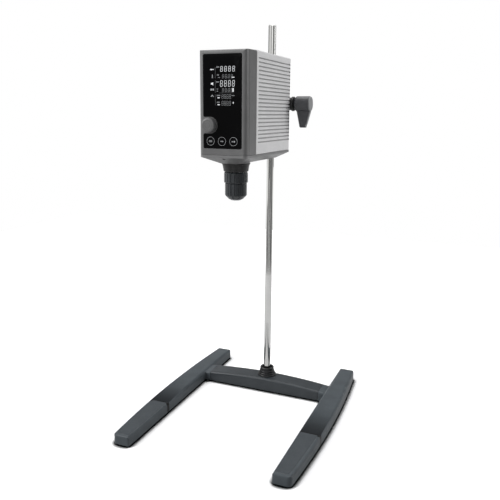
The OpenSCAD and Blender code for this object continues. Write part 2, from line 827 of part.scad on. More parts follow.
module at_rear_screws() {
    low_row = floor(groove_count * 0.66) + 0.5;
    for (x = [-1, 1], z = [head_h - groove_top - groove_pitch * low_row, head_h - shell_wall / 2])
        translate([x * (half_w - (shell_wall + groove_d) / 2), 0, z]) children();
}

module rear_cover() {
    color(chuck_black) at_head() difference() {
        union() {
            along_y(shell_back, rear_t) rear_plan(rear_inset);
            along_y(shell_back - 5, 5 + eps) lip_section(inner_w - 2 * seam_gap, shell_top - seam_gap);
        }
        clamp_clear(0.5);
        translate([-socket_x, 0, socket_z + 3])
            translate([-inlet_w / 2 + 2, shell_back - 6, 0]) cube([inlet_w - 4, rear_t + 7, inlet_h - 6]);
        translate([socket_x, 0, socket_z + 2])
            translate([2 - switch_w / 2, shell_back - 6, 0]) cube([switch_w - 4, rear_t + 7, switch_h - 4]);
        at_rear_screws() disc_y(rear_screw_r + seam_gap, shell_back - 1, rear_t + 2);
        for (i = [0 : vent_rows - 1]) translate([0, 0, head_h - 3 * vent_pitch - vent_pitch * i])
            along_y(shell_back - 6, rear_t + 7) translate([-vent_w / 2, -1.2]) square([vent_w, 2.4]);
    }
}

module rear_screws() {
    color(steel) at_head() at_rear_screws() {
        disc_y(rear_screw_r, shell_back - 11, 11 + rear_t);
        difference() {
            disc_y(rear_screw_r + 1, rear_back, 1.4);
            translate([-2 * rear_screw_r, rear_back + 0.7, -0.3]) cube([4 * rear_screw_r, 1, 0.6]);
        }
    }
}

// ---------- Chassis ----------
module at_clamp_bolts() {
    for (x = [-clamp_bolt_x, clamp_bolt_x], z = [-clamp_bolt_z, clamp_bolt_z])
        translate([x, 0, clamp_z + z]) children();
}

module at_motor_screws() {
    for (a = [45 : 90 : 315]) translate([0, motor_y, 0]) rotate([0, 0, a]) translate([motor_d / 2 - 8, 0, 0])
        children();
}

module at_standoffs() {
    for (x = [-standoff_x, standoff_x], z = [power_low + 4, power_high - 4]) translate([x, 0, z]) children();
}

module chassis() {
    w = inner_w - 0.2;
    front = face_y + cover_screw_inset - 5;
    color(silver) at_head() difference() {
        union() {
            translate([-w / 2, front, chassis_z]) cube([w, pillar_y + pillar_t - front, chassis_t]);
            translate([-pillar_w / 2, pillar_y, chassis_z]) cube([pillar_w, pillar_t, pillar_top - chassis_z]);
            for (x = [-pillar_w / 2, pillar_w / 2 - 3]) translate([x, pillar_y + eps, chassis_top - eps])
                rotate([0, -90, 180]) linear_extrude(3) polygon([[0, 0], [12, 0], [0, 14]]);
        }
        translate([0, spindle_y, 0]) cylinder(r = housing_r + 0.2, h = chassis_top + 1);
        translate([0, motor_y, 0]) cylinder(r = 12, h = chassis_top + 1);
        at_motor_screws() cylinder(r = 2 + seam_gap, h = chassis_top + 1);
        at_clamp_bolts() disc_y(3 + seam_gap, pillar_y - 1, pillar_t + 2);
        at_standoffs() disc_y(1.5, pillar_y - 1, pillar_t - 1);
        at_cover_screws() cylinder(r = cover_screw_r, h = chassis_top + 1);
    }
}

module clamp_bolts() {
    color(steel) at_head() at_clamp_bolts() {
        difference() {
            disc_y(5, pillar_y - 5, 5);
            disc_y(2.5, pillar_y - 6, 4, $fn = 6);
        }
        disc_y(3, pillar_y - eps, pillar_t + 9);
    }
}

// ---------- Spindle, bearings and belt drive ----------
housing_low = bottom_z - 2;
housing_top = chassis_top + housing_h;
bearing_r = bearing_d / 2;
housing_r = bearing_r + 4;
spindle_r = spindle_d / 2;
pulley_r = spindle_r - 1.5;
belt_z = housing_top + 7;
chuck_top = bottom_z - guard_h - 1.5;
spigot_l = 12;
ring_r = (spindle_r + bearing_r) / 2 - 0.75;

module at_spindle() {
    at_head() translate([0, spindle_y, 0]) children();
}

// Ring between two radii and two heights
module ring(r_in, r_out, z, h) {
    rotate_extrude() translate([r_in, z]) square([r_out - r_in, h]);
}

module bearing_housing() {
    color(silver) at_spindle() difference() {
        union() {
            translate([0, 0, housing_low]) cylinder(r = housing_r, h = housing_top - housing_low);
            translate([0, 0, chassis_top]) cylinder(r = housing_r + 7, h = 4);
        }
        translate([0, 0, housing_low - 1]) cylinder(r = bearing_r, h = bearing_w + 1);
        translate([0, 0, housing_low]) cylinder(r = bearing_r - 2, h = housing_top - housing_low);
        translate([0, 0, housing_top - bearing_w]) cylinder(r = bearing_r, h = bearing_w + 1);
    }
}

module bearing_outer_rings() {
    color(steel) at_spindle() for (z = [housing_low, housing_top - bearing_w])
        ring(ring_r + run_gap, bearing_r, z, bearing_w);
}

module bearing_inner_rings() {
    color(steel) at_spindle() for (z = [housing_low, housing_top - bearing_w])
        ring(spindle_r, ring_r, z, bearing_w);
}

pulley_hub_h = belt_w + 5;
pulley_low = housing_top + 3;

module spindle() {
    nut_top = pulley_low + pulley_hub_h + 6;
    color(chrome) at_spindle() difference() {
        rotate_extrude() polygon([
            [0, chuck_top - spigot_l], [pulley_r, chuck_top - spigot_l], [pulley_r, chuck_top],
            [spindle_r, chuck_top], [spindle_r, pulley_low], [pulley_r, pulley_low],
            [pulley_r, nut_top], [0, nut_top]
        ]);
        translate([0, 0, chuck_top - spigot_l - 1]) cylinder(d = shaft_bore_d, h = 66);
    }
}

module pulley(r, bore) {
    rim = r - free_gap;
    rotate_extrude() polygon([
        [bore, 0], [rim + 2, 0], [rim + 2, 1.4], [rim, 1.8], [rim, pulley_hub_h - 1.8],
        [rim + 2, pulley_hub_h - 1.4], [rim + 2, pulley_hub_h], [bore, pulley_hub_h]
    ]);
}

module driven_pulley() {
    color(silver) at_spindle() translate([0, 0, pulley_low]) pulley(driven_r, pulley_r);
}

module spindle_nut() {
    color(steel) at_spindle() translate([0, 0, pulley_low + pulley_hub_h]) difference() {
        cylinder(r = pulley_r + 4, h = 5, $fn = 6);
        translate([0, 0, -1]) cylinder(r = pulley_r, h = 7);
    }
}

// Open belt round two circles: its outline is two arcs and their common tangents
module belt_plan(grow) {
    big = driven_r + grow;
    small = drive_r + grow;
    a = acos((big - small) / belt_span);
    circle(r = big);
    translate([0, belt_span]) circle(r = small);
    polygon([
        [big * sin(a), big * cos(a)], [small * sin(a), belt_span + small * cos(a)],
        [-small * sin(a), belt_span + small * cos(a)], [-big * sin(a), big * cos(a)]
    ]);
}

module drive_belt() {
    color(rubber_black) at_spindle() translate([0, 0, pulley_low + (pulley_hub_h - belt_w) / 2])
        linear_extrude(belt_w) difference() {
            belt_plan(belt_t);
            belt_plan(0);
        }
}

// ---------- Motor ----------
motor_r = motor_d / 2;
motor_shaft_r = motor_shaft_d / 2;
motor_top = chassis_top + motor_h;
motor_wall = 2.5;
rotor_r = motor_r * 0.55;

module at_motor() {
    at_head() translate([0, motor_y, 0]) children();
}

module motor_can() {
    color([0.3, 0.3, 0.32]) at_motor() difference() {
        translate([0, 0, chassis_top]) cylinder(r = motor_r, h = motor_h);
        translate([0, 0, chassis_top + 4]) cylinder(r = motor_r - motor_wall, h = motor_h - 8);
        translate([0, 0, chassis_top + 2]) cylinder(r = motor_shaft_r + run_gap, h = motor_h);
        for (a = [45 : 90 : 315]) rotate([0, 0, a]) translate([motor_r - 8, 0, chassis_top - 1])
            cylinder(r = 2, h = 4);
    }
}

module motor_stator() {
    color(copper) at_motor() ring(rotor_r + 0.5, motor_r - motor_wall, chassis_top + 10, motor_h - 20);
}

module motor_rotor() {
    color(steel) at_motor() ring(motor_shaft_r, rotor_r, chassis_top + 12, motor_h - 24);
}

module motor_shaft() {
    z0 = chassis_top + 2.5;
    color(chrome) at_motor() translate([0, 0, z0])
        cylinder(r = motor_shaft_r, h = pulley_low + pulley_hub_h - z0);
}

module drive_pulley() {
    color(silver) at_motor() translate([0, 0, pulley_low]) pulley(drive_r, motor_shaft_r);
}

module motor_screws() {
    color(steel) at_head() at_motor_screws() {
        translate([0, 0, chassis_z - 2.4]) cylinder(r = 3.5, h = 2.4);
        translate([0, 0, chassis_z - 1]) cylinder(r = 2, h = chassis_t + 3.5);
    }
}

// ---------- Electrics ----------
module power_board() {
    w = inner_w - 10;
    color(board_green) at_head() {
        difference() {
            translate([-w / 2, power_y - board_t, power_low]) cube([w, board_t, power_high - power_low]);
            at_standoffs() disc_y(1.6, power_y - board_t - 1, board_t + 2);
        }
        translate([-30, power_y - board_t - 14, power_high - 34]) cube([22, 14 + eps, 26]);
        for (x = [8, 24]) translate([x, 0, power_high - 20]) disc_y(7, power_y - board_t - 12, 12 + eps);
    }
}

module board_standoffs() {
    color(brass) at_head() at_standoffs() {
        disc_y(2.6, power_y, standoff_l);
        disc_y(1.5, power_y + standoff_l - 1, pillar_t - 1);
    }
}

socket_lip = 2;
recess_w = inlet_w - 7.6;
recess_h = 24.4;
recess_z = socket_z + 5;
recess_depth = 17;
drawer_w = inlet_w - 6;
drawer_h = 9.5;
drawer_z = recess_z + recess_h + 4;
drawer_depth = 22;

module mains_inlet() {
    back = rear_back + socket_lip;
    color([0.08, 0.08, 0.08]) at_head() translate([-socket_x, 0, 0]) difference() {
        union() {
            translate([-inlet_w / 2, rear_back, socket_z]) cube([inlet_w, socket_lip, inlet_h]);
            translate([2.2 - inlet_w / 2, back - inlet_depth, socket_z + 3.2])
                cube([inlet_w - 4.4, inlet_depth - 1, inlet_h - 6.4]);
        }
        translate([-recess_w / 2, back - recess_depth, recess_z]) cube([recess_w, recess_depth + 1, recess_h]);
        translate([socket_x, 0, 0]) pin_forms();
        translate([-drawer_w / 2, back - drawer_depth - 0.5, drawer_z - free_gap])
            cube([drawer_w, drawer_depth + 1, drawer_h + 2 * free_gap]);
    }
}

// Three flat pins, the middle one set to one side
module pin_forms() {
    translate([-socket_x, rear_back + socket_lip - recess_depth - 3, recess_z + recess_h / 2])
        for (p = [[-2, -7], [2, 0], [-2, 7]]) translate([p[0] - 1, 0, p[1] - 2])
            cube([2, recess_depth - 1.6, 4]);
}

module inlet_pins() {
    color(brass) at_head() pin_forms();
}

module fuse_drawer() {
    back = rear_back + socket_lip;
    w = drawer_w - 2 * free_gap;
    color([0.1, 0.1, 0.1]) at_head() translate([-socket_x, 0, drawer_z]) difference() {
        union() {
            translate([-w / 2, back - drawer_depth, 0]) cube([w, drawer_depth + 0.6, drawer_h]);
            translate([-4, back, 2]) cube([8, 1.8, 2.4]);
        }
        translate([-w / 2 + 2, back - drawer_depth + 2, 2]) cube([w - 4, drawer_depth - 5, drawer_h]);
    }
}

rocker_z = socket_z + switch_h / 2;
rocker_y = rear_back - 1;
rocker_w = switch_w - 7;
rocker_h = switch_h - 8;

module switch_frame() {
    w = rocker_w + 2 * free_gap;
    h = rocker_h + 2 * free_gap + 1;
    color([0.08, 0.08, 0.08]) at_head() translate([socket_x, 0, rocker_z]) difference() {
        union() {
            translate([-switch_w / 2, rear_back, -switch_h / 2]) cube([switch_w, socket_lip, switch_h]);
            translate([2.2 - switch_w / 2, rear_back - 18, 2.2 - switch_h / 2])
                cube([switch_w - 4.4, 18.5, switch_h - 4.4]);
        }
        translate([-w / 2, rocker_y - 7, -h / 2]) cube([w, 20, h]);
        translate([0, rocker_y, 0]) rotate([0, 90, 0])
            cylinder(r = 1.5 + run_gap, h = rocker_w + 2.5, center = true);
    }
}

// Rocker with a V-shaped face, tipped to its off side; pivot pins run along X
module power_rocker() {
    half = rocker_h / 2;
    crest = half * tan(rocker_tilt);
    color([0.05, 0.05, 0.05]) at_head() translate([socket_x, rocker_y, rocker_z]) rotate([rocker_tilt, 0, 0]) {
        rotate([90, 0, 90]) linear_extrude(rocker_w, center = true) polygon([
            [-3, -half + 1], [2.2, -half], [2.2 + crest, -half], [2.6, 0],
            [2.2 + crest, half], [2.2, half], [-3, half - 1]
        ]);
        rotate([0, 90, 0]) cylinder(r = 1.5, h = rocker_w + 2.2, center = true);
    }
}

// ---------- Rod clamp ----------
bush_in = rod_r + run_gap;
bush_out = bush_in + bush_t;
clamp_bore = bush_out + run_gap;
clamp_back = clamp_bore + 9;
clamp_round = clamp_w * 0.32;
clamp_collar_x = half_w + clamp_reach;
boss_r = head_gap - 0.8;
flange_t = 1.5;
screw_r = clamp_screw_d / 2;
pad_r = screw_r + 1.2;
pad_seat = bush_out + free_gap;
pad_x1 = pad_seat + 7;
collar_t = 5.7;
collar_x0 = clamp_collar_x - collar_t;
hub_x = clamp_collar_x + 1.5 + 0.3;
hub_r = hub_d / 2;
wing_tip_x = hub_l * 0.7;

module at_clamp() {
    at_head() translate([0, 0, clamp_z]) children();
}

module disc_x(r, x, length) {
    translate([x, 0, 0]) rotate([0, 90, 0]) cylinder(r = r, h = length);
}

// The clamp block's outer form, with rounded rear corners round the rod
module clamp_form(gap, gap_z) {
    w = clamp_w + 2 * gap;
    h = clamp_h + 2 * gap_z;
    back = clamp_front + clamp_back + gap;
    translate([0, 0, -h / 2]) linear_extrude(h) {
        translate([-w / 2, -clamp_front]) square([w, back - clamp_round]);
        translate([clamp_round - w / 2, -clamp_front]) square([w - 2 * clamp_round, back]);
        for (x = [clamp_round - w / 2, w / 2 - clamp_round])
            translate([x, back - clamp_front - clamp_round]) circle(r = clamp_round);
    }
    disc_x(boss_r + gap, 0, collar_x0 + (gap > 0 ? 20 : 0));
}

// Room that the rear cover leaves for the clamp block
module clamp_clear(gap) {
    translate([0, 0, clamp_z]) clamp_form(gap, gap + seam_gap + flange_t);
}

module clamp_block() {
    color(chuck_black) at_clamp() difference() {
        clamp_form(0, 0);
        cylinder(r = clamp_bore, h = clamp_h + 2, center = true);
        disc_x(pad_r + run_gap * 2, 1, pad_x1 + clamp_travel + 0.5);
        disc_x(screw_r + 0.1, 1, collar_x0 + 2);
        for (x = [-clamp_bolt_x, clamp_bolt_x], z = [-clamp_bolt_z, clamp_bolt_z])
            translate([x, 0, z]) disc_y(3, -clamp_front - 1, 10.2);
    }
}

// Split bush with a flange at each end, slit along its rear
module clamp_bush() {
    half = clamp_h / 2 + seam_gap;
    color([0.1, 0.1, 0.1]) at_clamp() difference() {
        rotate_extrude() polygon([
            [bush_in, -half - flange_t], [bush_out + 2.5, -half - flange_t], [bush_out + 2.5, -half],
            [bush_out, -half], [bush_out, half], [bush_out + 2.5, half],
            [bush_out + 2.5, half + flange_t], [bush_in, half + flange_t]
        ]);
        translate([-1, 0, -clamp_h]) cube([2, bush_out + 5, 2 * clamp_h]);
    }
}

module clamp_pad() {
    color(brass) at_clamp() disc_x(pad_r, pad_seat, pad_x1 - pad_seat);
}

// Threaded collar at the outer end of the clamp block's boss
module clamp_collar() {
    r = hub_r - 0.8;
    color(chuck_black) at_clamp() rotate([0, 90, 0]) rotate_extrude() polygon([
        [screw_r + 0.1, collar_x0], [r - 1, collar_x0], [r, collar_x0 + 1], [r, clamp_collar_x - 1.2],
        [r - 1.2, clamp_collar_x], [screw_r + 0.1, clamp_collar_x]
    ]);
}

module clamp_screw() {
    color(steel) at_clamp() disc_x(screw_r, pad_x1, hub_x + hub_l - 12 - pad_x1);
}

// Side view of the wing in the XZ plane: it tapers away from the hub
module wing_plan() {
    polygon([
        [hub_x + 4.2, -hub_r * 0.72], [hub_x + 12.5, 1.2 - wing_l], [hub_x + 14, -wing_l],
        [hub_x + wing_tip_x, -wing_l], [hub_x + hub_l - 2, -hub_r * 0.72], [hub_x + hub_l - 2, 0], [hub_x + 4.2, 0]
    ]);
}

module clamp_handle() {
    r = hub_r;
    color(handle_black) at_clamp() difference() {
        union() {
            rotate([0, 90, 0]) rotate_extrude() polygon([
                [0, hub_x], [r - 4, hub_x], [r - 0.4, hub_x + 3.6], [r, hub_x + 4.6],
                [r, hub_x + hub_l - 3], [r - 0.5, hub_x + hub_l - 2], [0, hub_x + hub_l - 2]
            ]);
            intersection() {
                along_y(-wing_t / 2, wing_t) wing_plan();
                translate([0, 0, -wing_l - 1]) wing_round();
            }
        }
        disc_x(screw_r, hub_x - 1, hub_l - 11 + 0.2);
    }
}

// Rounds the wing's front and rear edges
module wing_round() {
    translate([hub_x, 0, 0]) linear_extrude(wing_l + 2) {
        translate([2, 2 - wing_t / 2]) square([hub_l - 6, wing_t - 4]);
        translate([4, -wing_t / 2]) square([hub_l - 8, wing_t]);
        for (x = [4, hub_l - 4], y = [2 - wing_t / 2, wing_t / 2 - 2]) translate([x, y]) circle(r = 2);
    }
}

// Pale cap on the outer face: a disc with a tongue that follows the wing's edge
module handle_cap() {
    x0 = hub_x + hub_l - 2;
    z0 = -hub_r * 0.72;
    z1 = -wing_l * 0.86;
    lean = (hub_x + wing_tip_x - x0) / (-wing_l - z0);
    x1 = x0 + lean * (z1 - z0);
    x_hub = x0 + lean * (-hub_r - z0);
    color([0.49, 0.49, 0.49]) at_clamp() {
        rotate([0, 90, 0]) translate([0, 0, x0]) cylinder(r1 = hub_r - 0.8, r2 = hub_r - 1.6, h = 2);
        along_y(-wing_t / 2 + 1.5, wing_t - 3) polygon([
            [x0, 0], [x0, -hub_r], [x_hub, -hub_r], [x1, z1], [x1 + 1.2, z1], [x0 + 1.6, -hub_r], [x0 + 1.6, 0]
        ]);
    }
}

// ---------- Keyless chuck ----------
nose_z = chuck_top - chuck_h;
core_r = core_d / 2;
jaw_r = jaw_d / 2;
grip_r = grip_d / 2;
jaw_root = jaw_r * 0.6 + grip_r * 0.76;
guide_r = jaw_r + 0.08;
rear_low = chuck_top - rear_sleeve_h;
front_high = rear_low - 0.6;
nut_low = nose_z + 12.5;
nut_h = 8;
nose_h = 8.3;
nose_r = jaw_root + guide_r / cos(jaw_tilt) + 1;
core_front_r = core_r - 0.5;
sleeve_r = front_sleeve_d / 2;
sleeve_in = core_front_r + 0.8;
jaw_part = 2.6;
jaw_turn = 30;

module at_chuck() {
    at_spindle() children();
}

// Puts a child, drawn along +Z from the origin, on the guide of the jaw at the angle a
module on_guide(a) {
    rotate([0, 0, a]) translate([jaw_root, 0, nose_z]) rotate([0, jaw_tilt, 0]) children();
}

module chuck_core() {
    groove_floor = jaw_root + (nut_low - nose_z) * tan(jaw_tilt) + jaw_r / cos(jaw_tilt) - 0.3;
    color(steel) at_chuck() difference() {
        rotate_extrude() polygon([
            [shaft_bore_d / 2, nose_z], [nose_r, nose_z], [core_front_r - 0.5, nose_z + nose_h],
            [core_front_r - 0.5, nut_low], [groove_floor, nut_low], [groove_floor, nut_low + nut_h],
            [core_front_r, nut_low + nut_h], [core_front_r, front_high + 0.3], [core_r, front_high + 0.3],
            [core_r, chuck_top], [pulley_r, chuck_top], [pulley_r, chuck_top - spigot_l],
            [shaft_bore_d / 2, chuck_top - spigot_l]
        ]);
        for (a = [0 : 120 : 240]) on_guide(a + jaw_turn) translate([0, 0, -2]) cylinder(r = guide_r, h = jaw_l + 9);
    }
}

// A jaw: a round pin on a slanted guide, hollow-ground to the grip circle, with a flat nose,
// parted flanks and a rack of teeth on its outer side
module jaw(a) {
    teeth = 7;
    color(chrome) at_chuck() difference() {
        on_guide(a) translate([0, 0, -3]) cylinder(r = jaw_r, h = jaw_l + 3);
        translate([0, 0, nose_z - 10]) cylinder(r = 30, h = 10);
        translate([0, 0, nose_z - 1]) cylinder(r = grip_r, h = jaw_l);
        rotate([0, 0, a]) for (side = [-1, 1]) rotate([0, 0, side * 60])
            translate([-20, side > 0 ? -jaw_part : jaw_part - 20, nose_z - 1]) cube([40, 20, jaw_l + 20]);
        for (i = [0 : teeth]) on_guide(a) translate([jaw_r - 0.5, -jaw_r, 10 + 2.2 * i]) cube([1, 2 * jaw_r, 1.1]);
    }
}

module jaw_1() {
    jaw(jaw_turn);
}

module jaw_2() {
    jaw(jaw_turn + 120);
}

module jaw_3() {
    jaw(jaw_turn + 240);
}

// Upright flutes round a sleeve
module flutes(r, low, high) {
    for (i = [0 : flute_count - 1]) rotate([0, 0, 360 * (i + 0.5) / flute_count])
        translate([r + 1.1, 0, low]) cylinder(r = 2.1, h = high - low, $fn = 24);
}

module chuck_rear_sleeve() {
    r = rear_sleeve_d / 2;
    color(chuck_black) at_chuck() difference() {
        rotate_extrude() polygon([
            [core_r, rear_low], [r - 1.2, rear_low], [r, rear_low + 1.2], [r, chuck_top - 1.5],
            [r - 1.5, chuck_top], [core_r, chuck_top]
        ]);
        flutes(r, rear_low + 2, chuck_top - 3);
    }
}

module chuck_front_sleeve() {
    mouth = nose_r + 1.4;
    guide_z = nut_low + nut_h + 1;
    color(chuck_black) at_chuck() difference() {
        rotate_extrude() polygon([
            [mouth + 1.2, nose_z + 1.6], [mouth + 2.6, nose_z + 2.2], [sleeve_r - 1, nose_z + 8.5],
            [sleeve_r, nose_z + 10.5], [sleeve_r, front_high - 1], [sleeve_r - 1, front_high],
            [core_front_r + run_gap, front_high], [core_front_r + run_gap, guide_z], [sleeve_in, guide_z],
            [sleeve_in, nose_z + nose_h]
        ]);
        flutes(sleeve_r, nose_z + 9, front_high - 2);
    }
}

// Ring with a conical thread that drives the jaws' teeth
module chuck_nut() {
    low_r = jaw_root + (nut_low - nose_z) * tan(jaw_tilt) + jaw_r / cos(jaw_tilt) + free_gap;
    high_r = low_r + nut_h * tan(jaw_tilt);
    color(brass) at_chuck() rotate_extrude() polygon([
        [low_r, nut_low + 0.15], [sleeve_in, nut_low + 0.15], [sleeve_in, nut_low + nut_h - 0.15],
        [high_r, nut_low + nut_h - 0.15]
    ]);
}

// Conical guard between the bottom cover and the chuck, with an access slot in its rim
module chuck_guard() {
    low = bottom_z - guard_h;
    r = guard_r;
    color(chuck_black) at_spindle() difference() {
        rotate_extrude() polygon([
            [r - 2.2, low], [r - 0.4, low], [r, low + 0.6], [r + 2.4, bottom_z - 3],
            [r + guard_flange, bottom_z - 2.6], [r + guard_flange, bottom_z], [r - 0.7, bottom_z],
            [r - 0.7, bottom_z + 3], [r - 2.5, bottom_z + 3], [r - 2.5, bottom_z - 3]
        ]);
        rotate([0, 0, 12]) translate([0, -3.5, low - 1]) cube([r + 5, 7, 5]);
    }
}

leg_left();
leg_right();
leg_pads();
crossbar();
stand_feet();
leg_screws();
stand_rod();
rod_collar();
rod_bolt();
clamp_bush();
head_shell();
front_bezel();
bottom_cover();
rear_cover();
display_window();
lcd_module();
display_board();
touch_sensors();
encoder_body();
encoder_shaft();
speed_knob();
chassis();
chassis_screws();
bearing_housing();
bearing_outer_rings();
bearing_inner_rings();
spindle();
spindle_nut();
driven_pulley();
drive_belt();
drive_pulley();
motor_shaft();
motor_rotor();
motor_stator();
motor_can();
motor_screws();
power_board();
board_standoffs();
mains_inlet();
inlet_pins();
fuse_drawer();
switch_frame();
power_rocker();
rear_screws();
clamp_block();
clamp_bolts();
clamp_collar();
clamp_pad();
clamp_screw();
clamp_handle();
handle_cap();
chuck_guard();
chuck_core();
chuck_rear_sleeve();
chuck_front_sleeve();
chuck_nut();
jaw_1();
jaw_2();
jaw_3();
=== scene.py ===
import math

import bpy
import numpy as np
from mathutils import Matrix, Vector


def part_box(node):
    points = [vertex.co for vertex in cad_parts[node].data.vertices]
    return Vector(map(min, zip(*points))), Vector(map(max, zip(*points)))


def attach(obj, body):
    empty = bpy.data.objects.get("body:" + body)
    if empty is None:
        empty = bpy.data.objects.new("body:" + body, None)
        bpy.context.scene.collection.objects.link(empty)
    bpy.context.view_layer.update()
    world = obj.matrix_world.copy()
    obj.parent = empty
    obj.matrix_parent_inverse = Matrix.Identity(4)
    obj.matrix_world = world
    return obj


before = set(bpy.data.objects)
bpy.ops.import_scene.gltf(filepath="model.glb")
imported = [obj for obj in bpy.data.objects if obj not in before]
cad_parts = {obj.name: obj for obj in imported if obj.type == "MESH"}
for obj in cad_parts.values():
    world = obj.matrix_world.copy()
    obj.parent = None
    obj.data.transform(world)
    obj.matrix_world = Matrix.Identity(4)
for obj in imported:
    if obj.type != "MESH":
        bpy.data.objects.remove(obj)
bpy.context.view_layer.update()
scene = bpy.context.scene

# ---------------------------------------------------------------- places in the frame, metres
MM = 0.001
ROD_Y = 0.124                            # the rod's axis
HEAD_Z = 0.5685                          # underside of the housing
FACE_Y = ROD_Y - 0.251                   # front of the display window
SEAM_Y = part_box("leg_pads")[1][1]        # where a pad's shoulder crosses its leg
SHELL_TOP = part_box("head_shell")[1][2]   # top of the ribbed housing

X, Y, Z = 0, 1, 2
WHITE = (1, 1, 1, 1)


def grey(level):
    """A plain grey of one brightness."""
    return (level, level, level, 1)


# ---------------------------------------------------------------- node helpers
def srgb(r, g, b):
    """Linear colour of an 8-bit display colour: each value as a share of 255, divided by 12.92 in
    the dark part, else raised by 0.055, divided by 1.055 and taken to the power 2.4."""
    def one(v):
        v /= 255.0
        return v / 12.92 if v <= 0.04045 else ((v + 0.055) / 1.055) ** 2.4
    return (one(r), one(g), one(b), 1.0)


class Graph:
    """Adds nodes to one node tree and joins them up."""

    def __init__(self, tree):
        self.tree = tree

    def put(self, socket, value):
        """Links a socket to another, or sets its constant."""
        if isinstance(value, bpy.types.NodeSocket):
            self.tree.links.new(value, socket)
        else:
            socket.default_value = value

    def node(self, kind, sockets=None, **props):
        """A new node with its properties set and its inputs filled."""
        n = self.tree.nodes.new(kind)
        for key, value in props.items():
            setattr(n, key, value)
        for key, value in (sockets or {}).items():
            self.put(n.inputs[key], value)
        return n

    def math(self, operation, a, b=0.0):
        return self.node("ShaderNodeMath", {0: a, 1: b}, operation=operation).outputs[0]

    def axis(self, vector, which):
        """One axis of a vector."""
        return self.node("ShaderNodeSeparateXYZ", {0: vector}).outputs[which]

    def normal(self):
        """The surface's own normal in the frame."""
        return self.node("ShaderNodeNewGeometry").outputs["Normal"]

    def place(self):
        """The point's place in its object's own coordinates."""
        return self.node("ShaderNodeTexCoord").outputs["Object"]

    def open_sky(self, distance, samples):
        """One where nothing stands within the distance, falling to zero in a corner."""
        n = self.node("ShaderNodeAmbientOcclusion", {"Distance": distance}, samples=samples)
        return n.outputs["AO"]

    def span(self, value, low, high, out_low=0.0, out_high=1.0):
        """Maps low..high to out_low..out_high, clamped and smooth."""
        n = self.node("ShaderNodeMapRange", {
            "Value": value, "From Min": low, "From Max": high, "To Min": out_low, "To Max": out_high,
        }, interpolation_type="SMOOTHSTEP")
        return n.outputs["Result"]

    def noise(self, vector, scale, detail=3.0, rough=0.55):
        """Soft noise round one half."""
        n = self.node("ShaderNodeTexNoise", {
            "Vector": vector, "Scale": scale, "Detail": detail, "Roughness": rough,
        })
        return n.outputs[0]

    def scaled(self, vector, factors):
        """A vector times three factors, axis by axis."""
        n = self.node("ShaderNodeVectorMath", {0: vector, 1: factors}, operation="MULTIPLY")
        return n.outputs[0]

    def mix(self, factor, a, b):
        """Colour a where the factor is zero and colour b where it is one."""
        n = self.node("ShaderNodeMix", {"Factor": factor}, data_type="RGBA")
        self.put(n.inputs[6], a)
        self.put(n.inputs[7], b)
        return n.outputs[2]

    def use(self, tree, sockets):
        """A shared effect with its inputs filled; gives its outputs."""
        n = self.node("ShaderNodeGroup", node_tree=tree)
        for key, value in sockets.items():
            self.put(n.inputs[key], value)
        return n.outputs


def effect(name, inputs, outputs, build):
    """A shared node group: build(graph, inputs) returns one socket for each output."""
    tree = bpy.data.node_groups.new(name, "ShaderNodeTree")
    for label, kind, value in inputs:
        socket = tree.interface.new_socket(label, in_out="INPUT", socket_type="NodeSocket" + kind)
        if value is not None:
            socket.default_value = value
    for label, kind in outputs:
        tree.interface.new_socket(label, in_out="OUTPUT", socket_type="NodeSocket" + kind)
    g = Graph(tree)
    made = build(g, g.node("NodeGroupInput").outputs)
    end = g.node("NodeGroupOutput")
    for (label, kind), socket in zip(outputs, made):
        g.put(end.inputs[label], socket)
    return tree


# ---------------------------------------------------------------- shared effects
DUST_COLOR = srgb(178, 175, 168)
# near black painted into seams and corners as shade, and the share of it
CREVICE_SHADE_COLOR = (0.004, 0.004, 0.004, 1.0)
CREVICE_SHADE_SHARE = 0.85


def build_grain(g, i):
    """Moulded grain: coarse noise plus 0.4 of noise 3.7 times finer, as height."""
    coarse = g.noise(i["Vector"], i["Scale"], 3.0, 0.6)
    fine = g.noise(i["Vector"], g.math("MULTIPLY", i["Scale"], 3.7), 1.0)
    height = g.math("ADD", coarse, g.math("MULTIPLY", fine, 0.4))
    bump = g.node("ShaderNodeBump", {
        "Strength": 1.0, "Distance": i["Depth"], "Height": height, "Normal": i["Normal"],
    })
    return bump.outputs[0], coarse


def build_streaks(g, i):
    """Drawn or turned lines: noise stretched along one axis, as height and as a mask."""
    lines = g.noise(g.scaled(i["Vector"], i["Stretch"]), 1.0, 4.0, 0.65)
    bump = g.node("ShaderNodeBump", {
        "Strength": 1.0, "Distance": i["Depth"], "Height": lines, "Normal": i["Normal"],
    })
    return bump.outputs[0], g.span(lines, 0.3, 0.7)


def build_handled(g, i):
    """Where hands have been: broad patches times small prints."""
    broad = g.noise(i["Vector"], 14.0, 2.0)
    prints = g.noise(i["Vector"], 95.0, 4.0, 0.7)
    both = g.math("MULTIPLY", g.span(broad, 0.4, 0.65), g.span(prints, 0.42, 0.62))
    return (both,)


def build_dust(g, i):
    """Dust that lies on what faces up: the upward share times specks times the amount."""
    up = g.axis(g.normal(), Z)
    specks = g.noise(i["Vector"], 420.0, 5.0, 0.75)
    lies = g.math("MULTIPLY", g.span(up, 0.3, 1.0), g.span(specks, 0.42, 0.75))
    mask = g.math("MULTIPLY", lies, i["Amount"])
    return g.mix(mask, i["Color"], DUST_COLOR), mask


def build_edges(g, i):
    """Rounded edges: the bevelled normal, and a mask where it turns away from the flat one, broken by
    noise; the mask lightens edges as wear and as a painted highlight.
    """
    round_normal = g.node("ShaderNodeBevel", {"Radius": i["Radius"]}, samples=6).outputs[0]
    turn = g.node("ShaderNodeVectorMath", {0: round_normal, 1: g.normal()}, operation="DOT_PRODUCT")
    wear_and_highlight = g.noise(i["Vector"], 160.0, 3.0, 0.7)
    mask = g.math("MULTIPLY", g.span(turn.outputs["Value"], 0.995, 0.86), g.span(wear_and_highlight, 0.3, 0.62))
    return round_normal, mask


